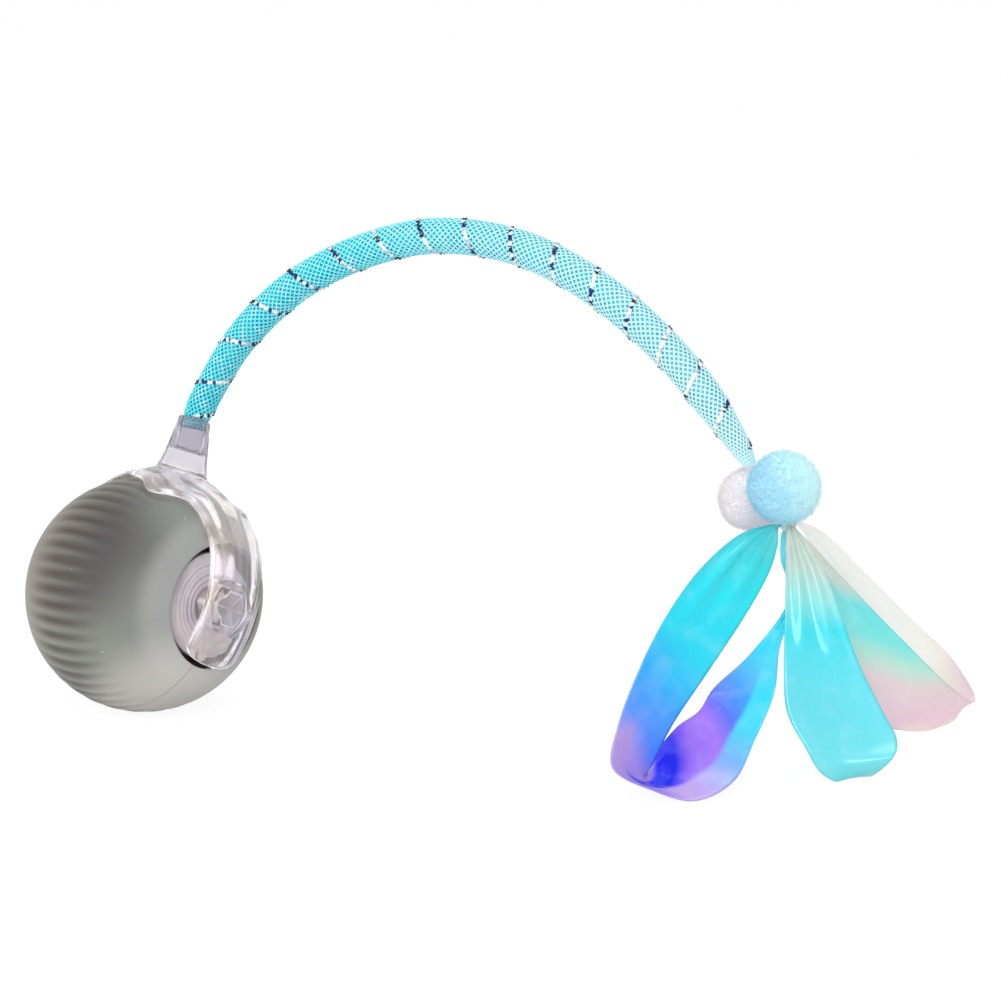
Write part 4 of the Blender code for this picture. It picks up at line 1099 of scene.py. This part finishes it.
def film_finish(name, outer, inner, clear_start, clear, slant=0.0, lip=None, thin=0.0):
    """Pearly film: one ramp of colours along the strip for each face, a drift by
    noise, and a share of clearness that is highest near the knot. The slant
    makes the colours run on sooner along the near edge; a lip is a third ramp,
    for a band along that edge where the film curls over. Thin is how much
    clearer the returning half is."""
    made = Finish(name, coat_weight=0.25, coat_roughness=0.08, specular_ior_level=0.35,
                  emission_strength=0.05)
    along, across = made.laid("X"), made.laid("Y")
    wave = made.noise(75, 2) - 0.5
    place = along + wave * 0.07 - (across - 0.5) * slant
    colour = made.ramp(place, outer)
    if lip:
        near_edge = 1 - (across + wave * 0.2).between(0.32, 0.42)
        in_lip = near_edge * along.between(0.37, 0.41)
        colour = made.mix(in_lip, colour, made.ramp(along, lip))
    cloud = made.noise(260, 3)
    colour = made.mix(made.mask("inner"), colour, made.ramp(place, inner))
    colour = made.mix(cloud.between(0.45, 0.75) * 0.07, colour, srgb(250, 250, 255))
    near_knot = 1 - along.between(0, clear_start) * (1 - along).between(0, clear_start)
    # The colour is also given out faintly as emission: a painted glow.
    made.set(base_color=colour, emission_color=colour, roughness=0.12 + cloud * 0.16,
             alpha=clear - near_knot * 0.2 - along.between(0.52, 0.62) * thin)
    made.bump(cloud, 0.08 * mm)
    return made


blue_film = film_finish(
    "blue_film",
    [(0.0, (40, 222, 218)), (0.10, (14, 226, 230)), (0.25, (6, 214, 236)),
     (0.33, (28, 170, 248)), (0.39, (84, 150, 248)), (0.435, (182, 158, 232)),
     (0.458, (186, 160, 232)), (0.475, (36, 40, 236)), (0.52, (20, 24, 226)),
     (0.555, (150, 104, 232)), (0.60, (160, 112, 238)), (0.645, (80, 112, 248)),
     (0.70, (50, 160, 252)), (0.78, (46, 218, 246)), (0.86, (50, 230, 240)),
     (1.0, (90, 230, 222))],
    [(0.0, (60, 190, 230)), (0.30, (40, 110, 240)), (0.42, (22, 30, 226)),
     (0.55, (24, 24, 224)), (0.66, (150, 100, 236)), (0.80, (170, 120, 240)),
     (1.0, (90, 190, 240))],
    clear_start=0.2, clear=0.93, slant=0.07,
    lip=[(0.0, (182, 154, 222)), (0.54, (192, 160, 224)), (0.60, (110, 172, 246)),
         (0.65, (46, 212, 254)), (0.80, (40, 226, 248)), (1.0, (80, 230, 230))])
aqua_film = film_finish(
    "aqua_film",
    [(0.0, (216, 220, 208)), (0.10, (200, 222, 212)), (0.16, (150, 234, 230)),
     (0.22, (56, 226, 238)), (0.32, (98, 220, 234)), (0.5, (112, 220, 226)),
     (0.75, (88, 206, 218)), (1.0, (190, 206, 196))],
    [(0.0, (196, 206, 196)), (0.25, (120, 214, 220)), (0.5, (90, 206, 220)),
     (1.0, (190, 206, 196))],
    clear_start=0.3, clear=0.90)
pearl_film = film_finish(
    "pearl_film",
    [(0.0, (218, 220, 210)), (0.06, (206, 226, 218)), (0.12, (96, 238, 240)),
     (0.21, (116, 240, 234)), (0.27, (190, 236, 218)), (0.32, (240, 214, 218)),
     (0.44, (242, 206, 220)), (0.53, (246, 232, 214)), (0.61, (246, 248, 244)),
     (1.0, (236, 238, 230))],
    [(0.0, (226, 228, 218)), (0.30, (190, 232, 230)), (0.45, (236, 208, 222)),
     (0.58, (240, 234, 220)), (0.70, (244, 246, 242)), (1.0, (230, 232, 222))],
    clear_start=0.3, clear=0.84, slant=0.14, thin=0.3)
ribbon("film_left", left_edges, blue_film, "ribbon_left")
ribbon("film_middle", middle_edges, aqua_film, "ribbon_middle")
ribbon("film_right", right_edges, pearl_film, "ribbon_right")

# %% [markdown]
# ## The hidden machinery
#
# The inner shell, the gears, the motor and the boards keep the shapes of the
# mechanical model. Each gets a finish of its own: moulded plastic with a fine
# grain, milky nylon, bare steel, green board, wrapped battery foil.

# %% Finishes for the machinery
def moulded(name, first, second, roughness, scale=400, **constants):
    """Plain material with a drift of two tints and a fine grain."""
    made = Finish(name, **constants)
    drift = made.noise(scale, 3)
    made.set(base_color=made.mix(drift.between(0.35, 0.65), srgb(*first), srgb(*second)),
             roughness=roughness + drift * 0.12)
    made.bump(made.noise(scale * 5, 1), 0.02 * mm)
    return made


machine_finishes = {
    "dark_plastic": moulded("dark_plastic", (46, 38, 50), (60, 50, 58), 0.42),
    "clear_plastic": clear,
    "clear_rubber": rubber,
    "white_nylon": moulded("white_nylon", (226, 224, 216), (238, 236, 230), 0.4),
    "steel": moulded("steel", (176, 178, 180), (198, 200, 202), 0.24, 900, metallic=1.0),
    "board_green": moulded("board_green", (22, 92, 60), (30, 112, 72), 0.38, 700),
    "battery_foil": moulded("battery_foil", (188, 190, 194), (210, 212, 214), 0.28, 300,
                            metallic=0.7),
    "black_plastic": moulded("black_plastic", (28, 28, 30), (40, 40, 42), 0.45),
    "led_resin": moulded("led_resin", (232, 238, 214), (244, 248, 232), 0.16, 500,
                         transmission_weight=0.5),
}
for name, item in sorted(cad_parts.items()):
    kind = item.material_slots[0].material.name.split(".")[0]
    if kind in machine_finishes and not item.hide_render:
        item.material_slots[0].material = machine_finishes[kind].material
        print(name, "is", kind)

# %% [markdown]
# ## Size
#
# The dressed toy is measured beside the mechanical model that it covers.

# %% Size
dressed_box = [list(corner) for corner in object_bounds()]
for label, low, high in (("cad", *cad_box), ("dressed", *dressed_box)):
    print(label, [round((b - a) / mm, 2) for a, b in zip(low, high)], "mm")
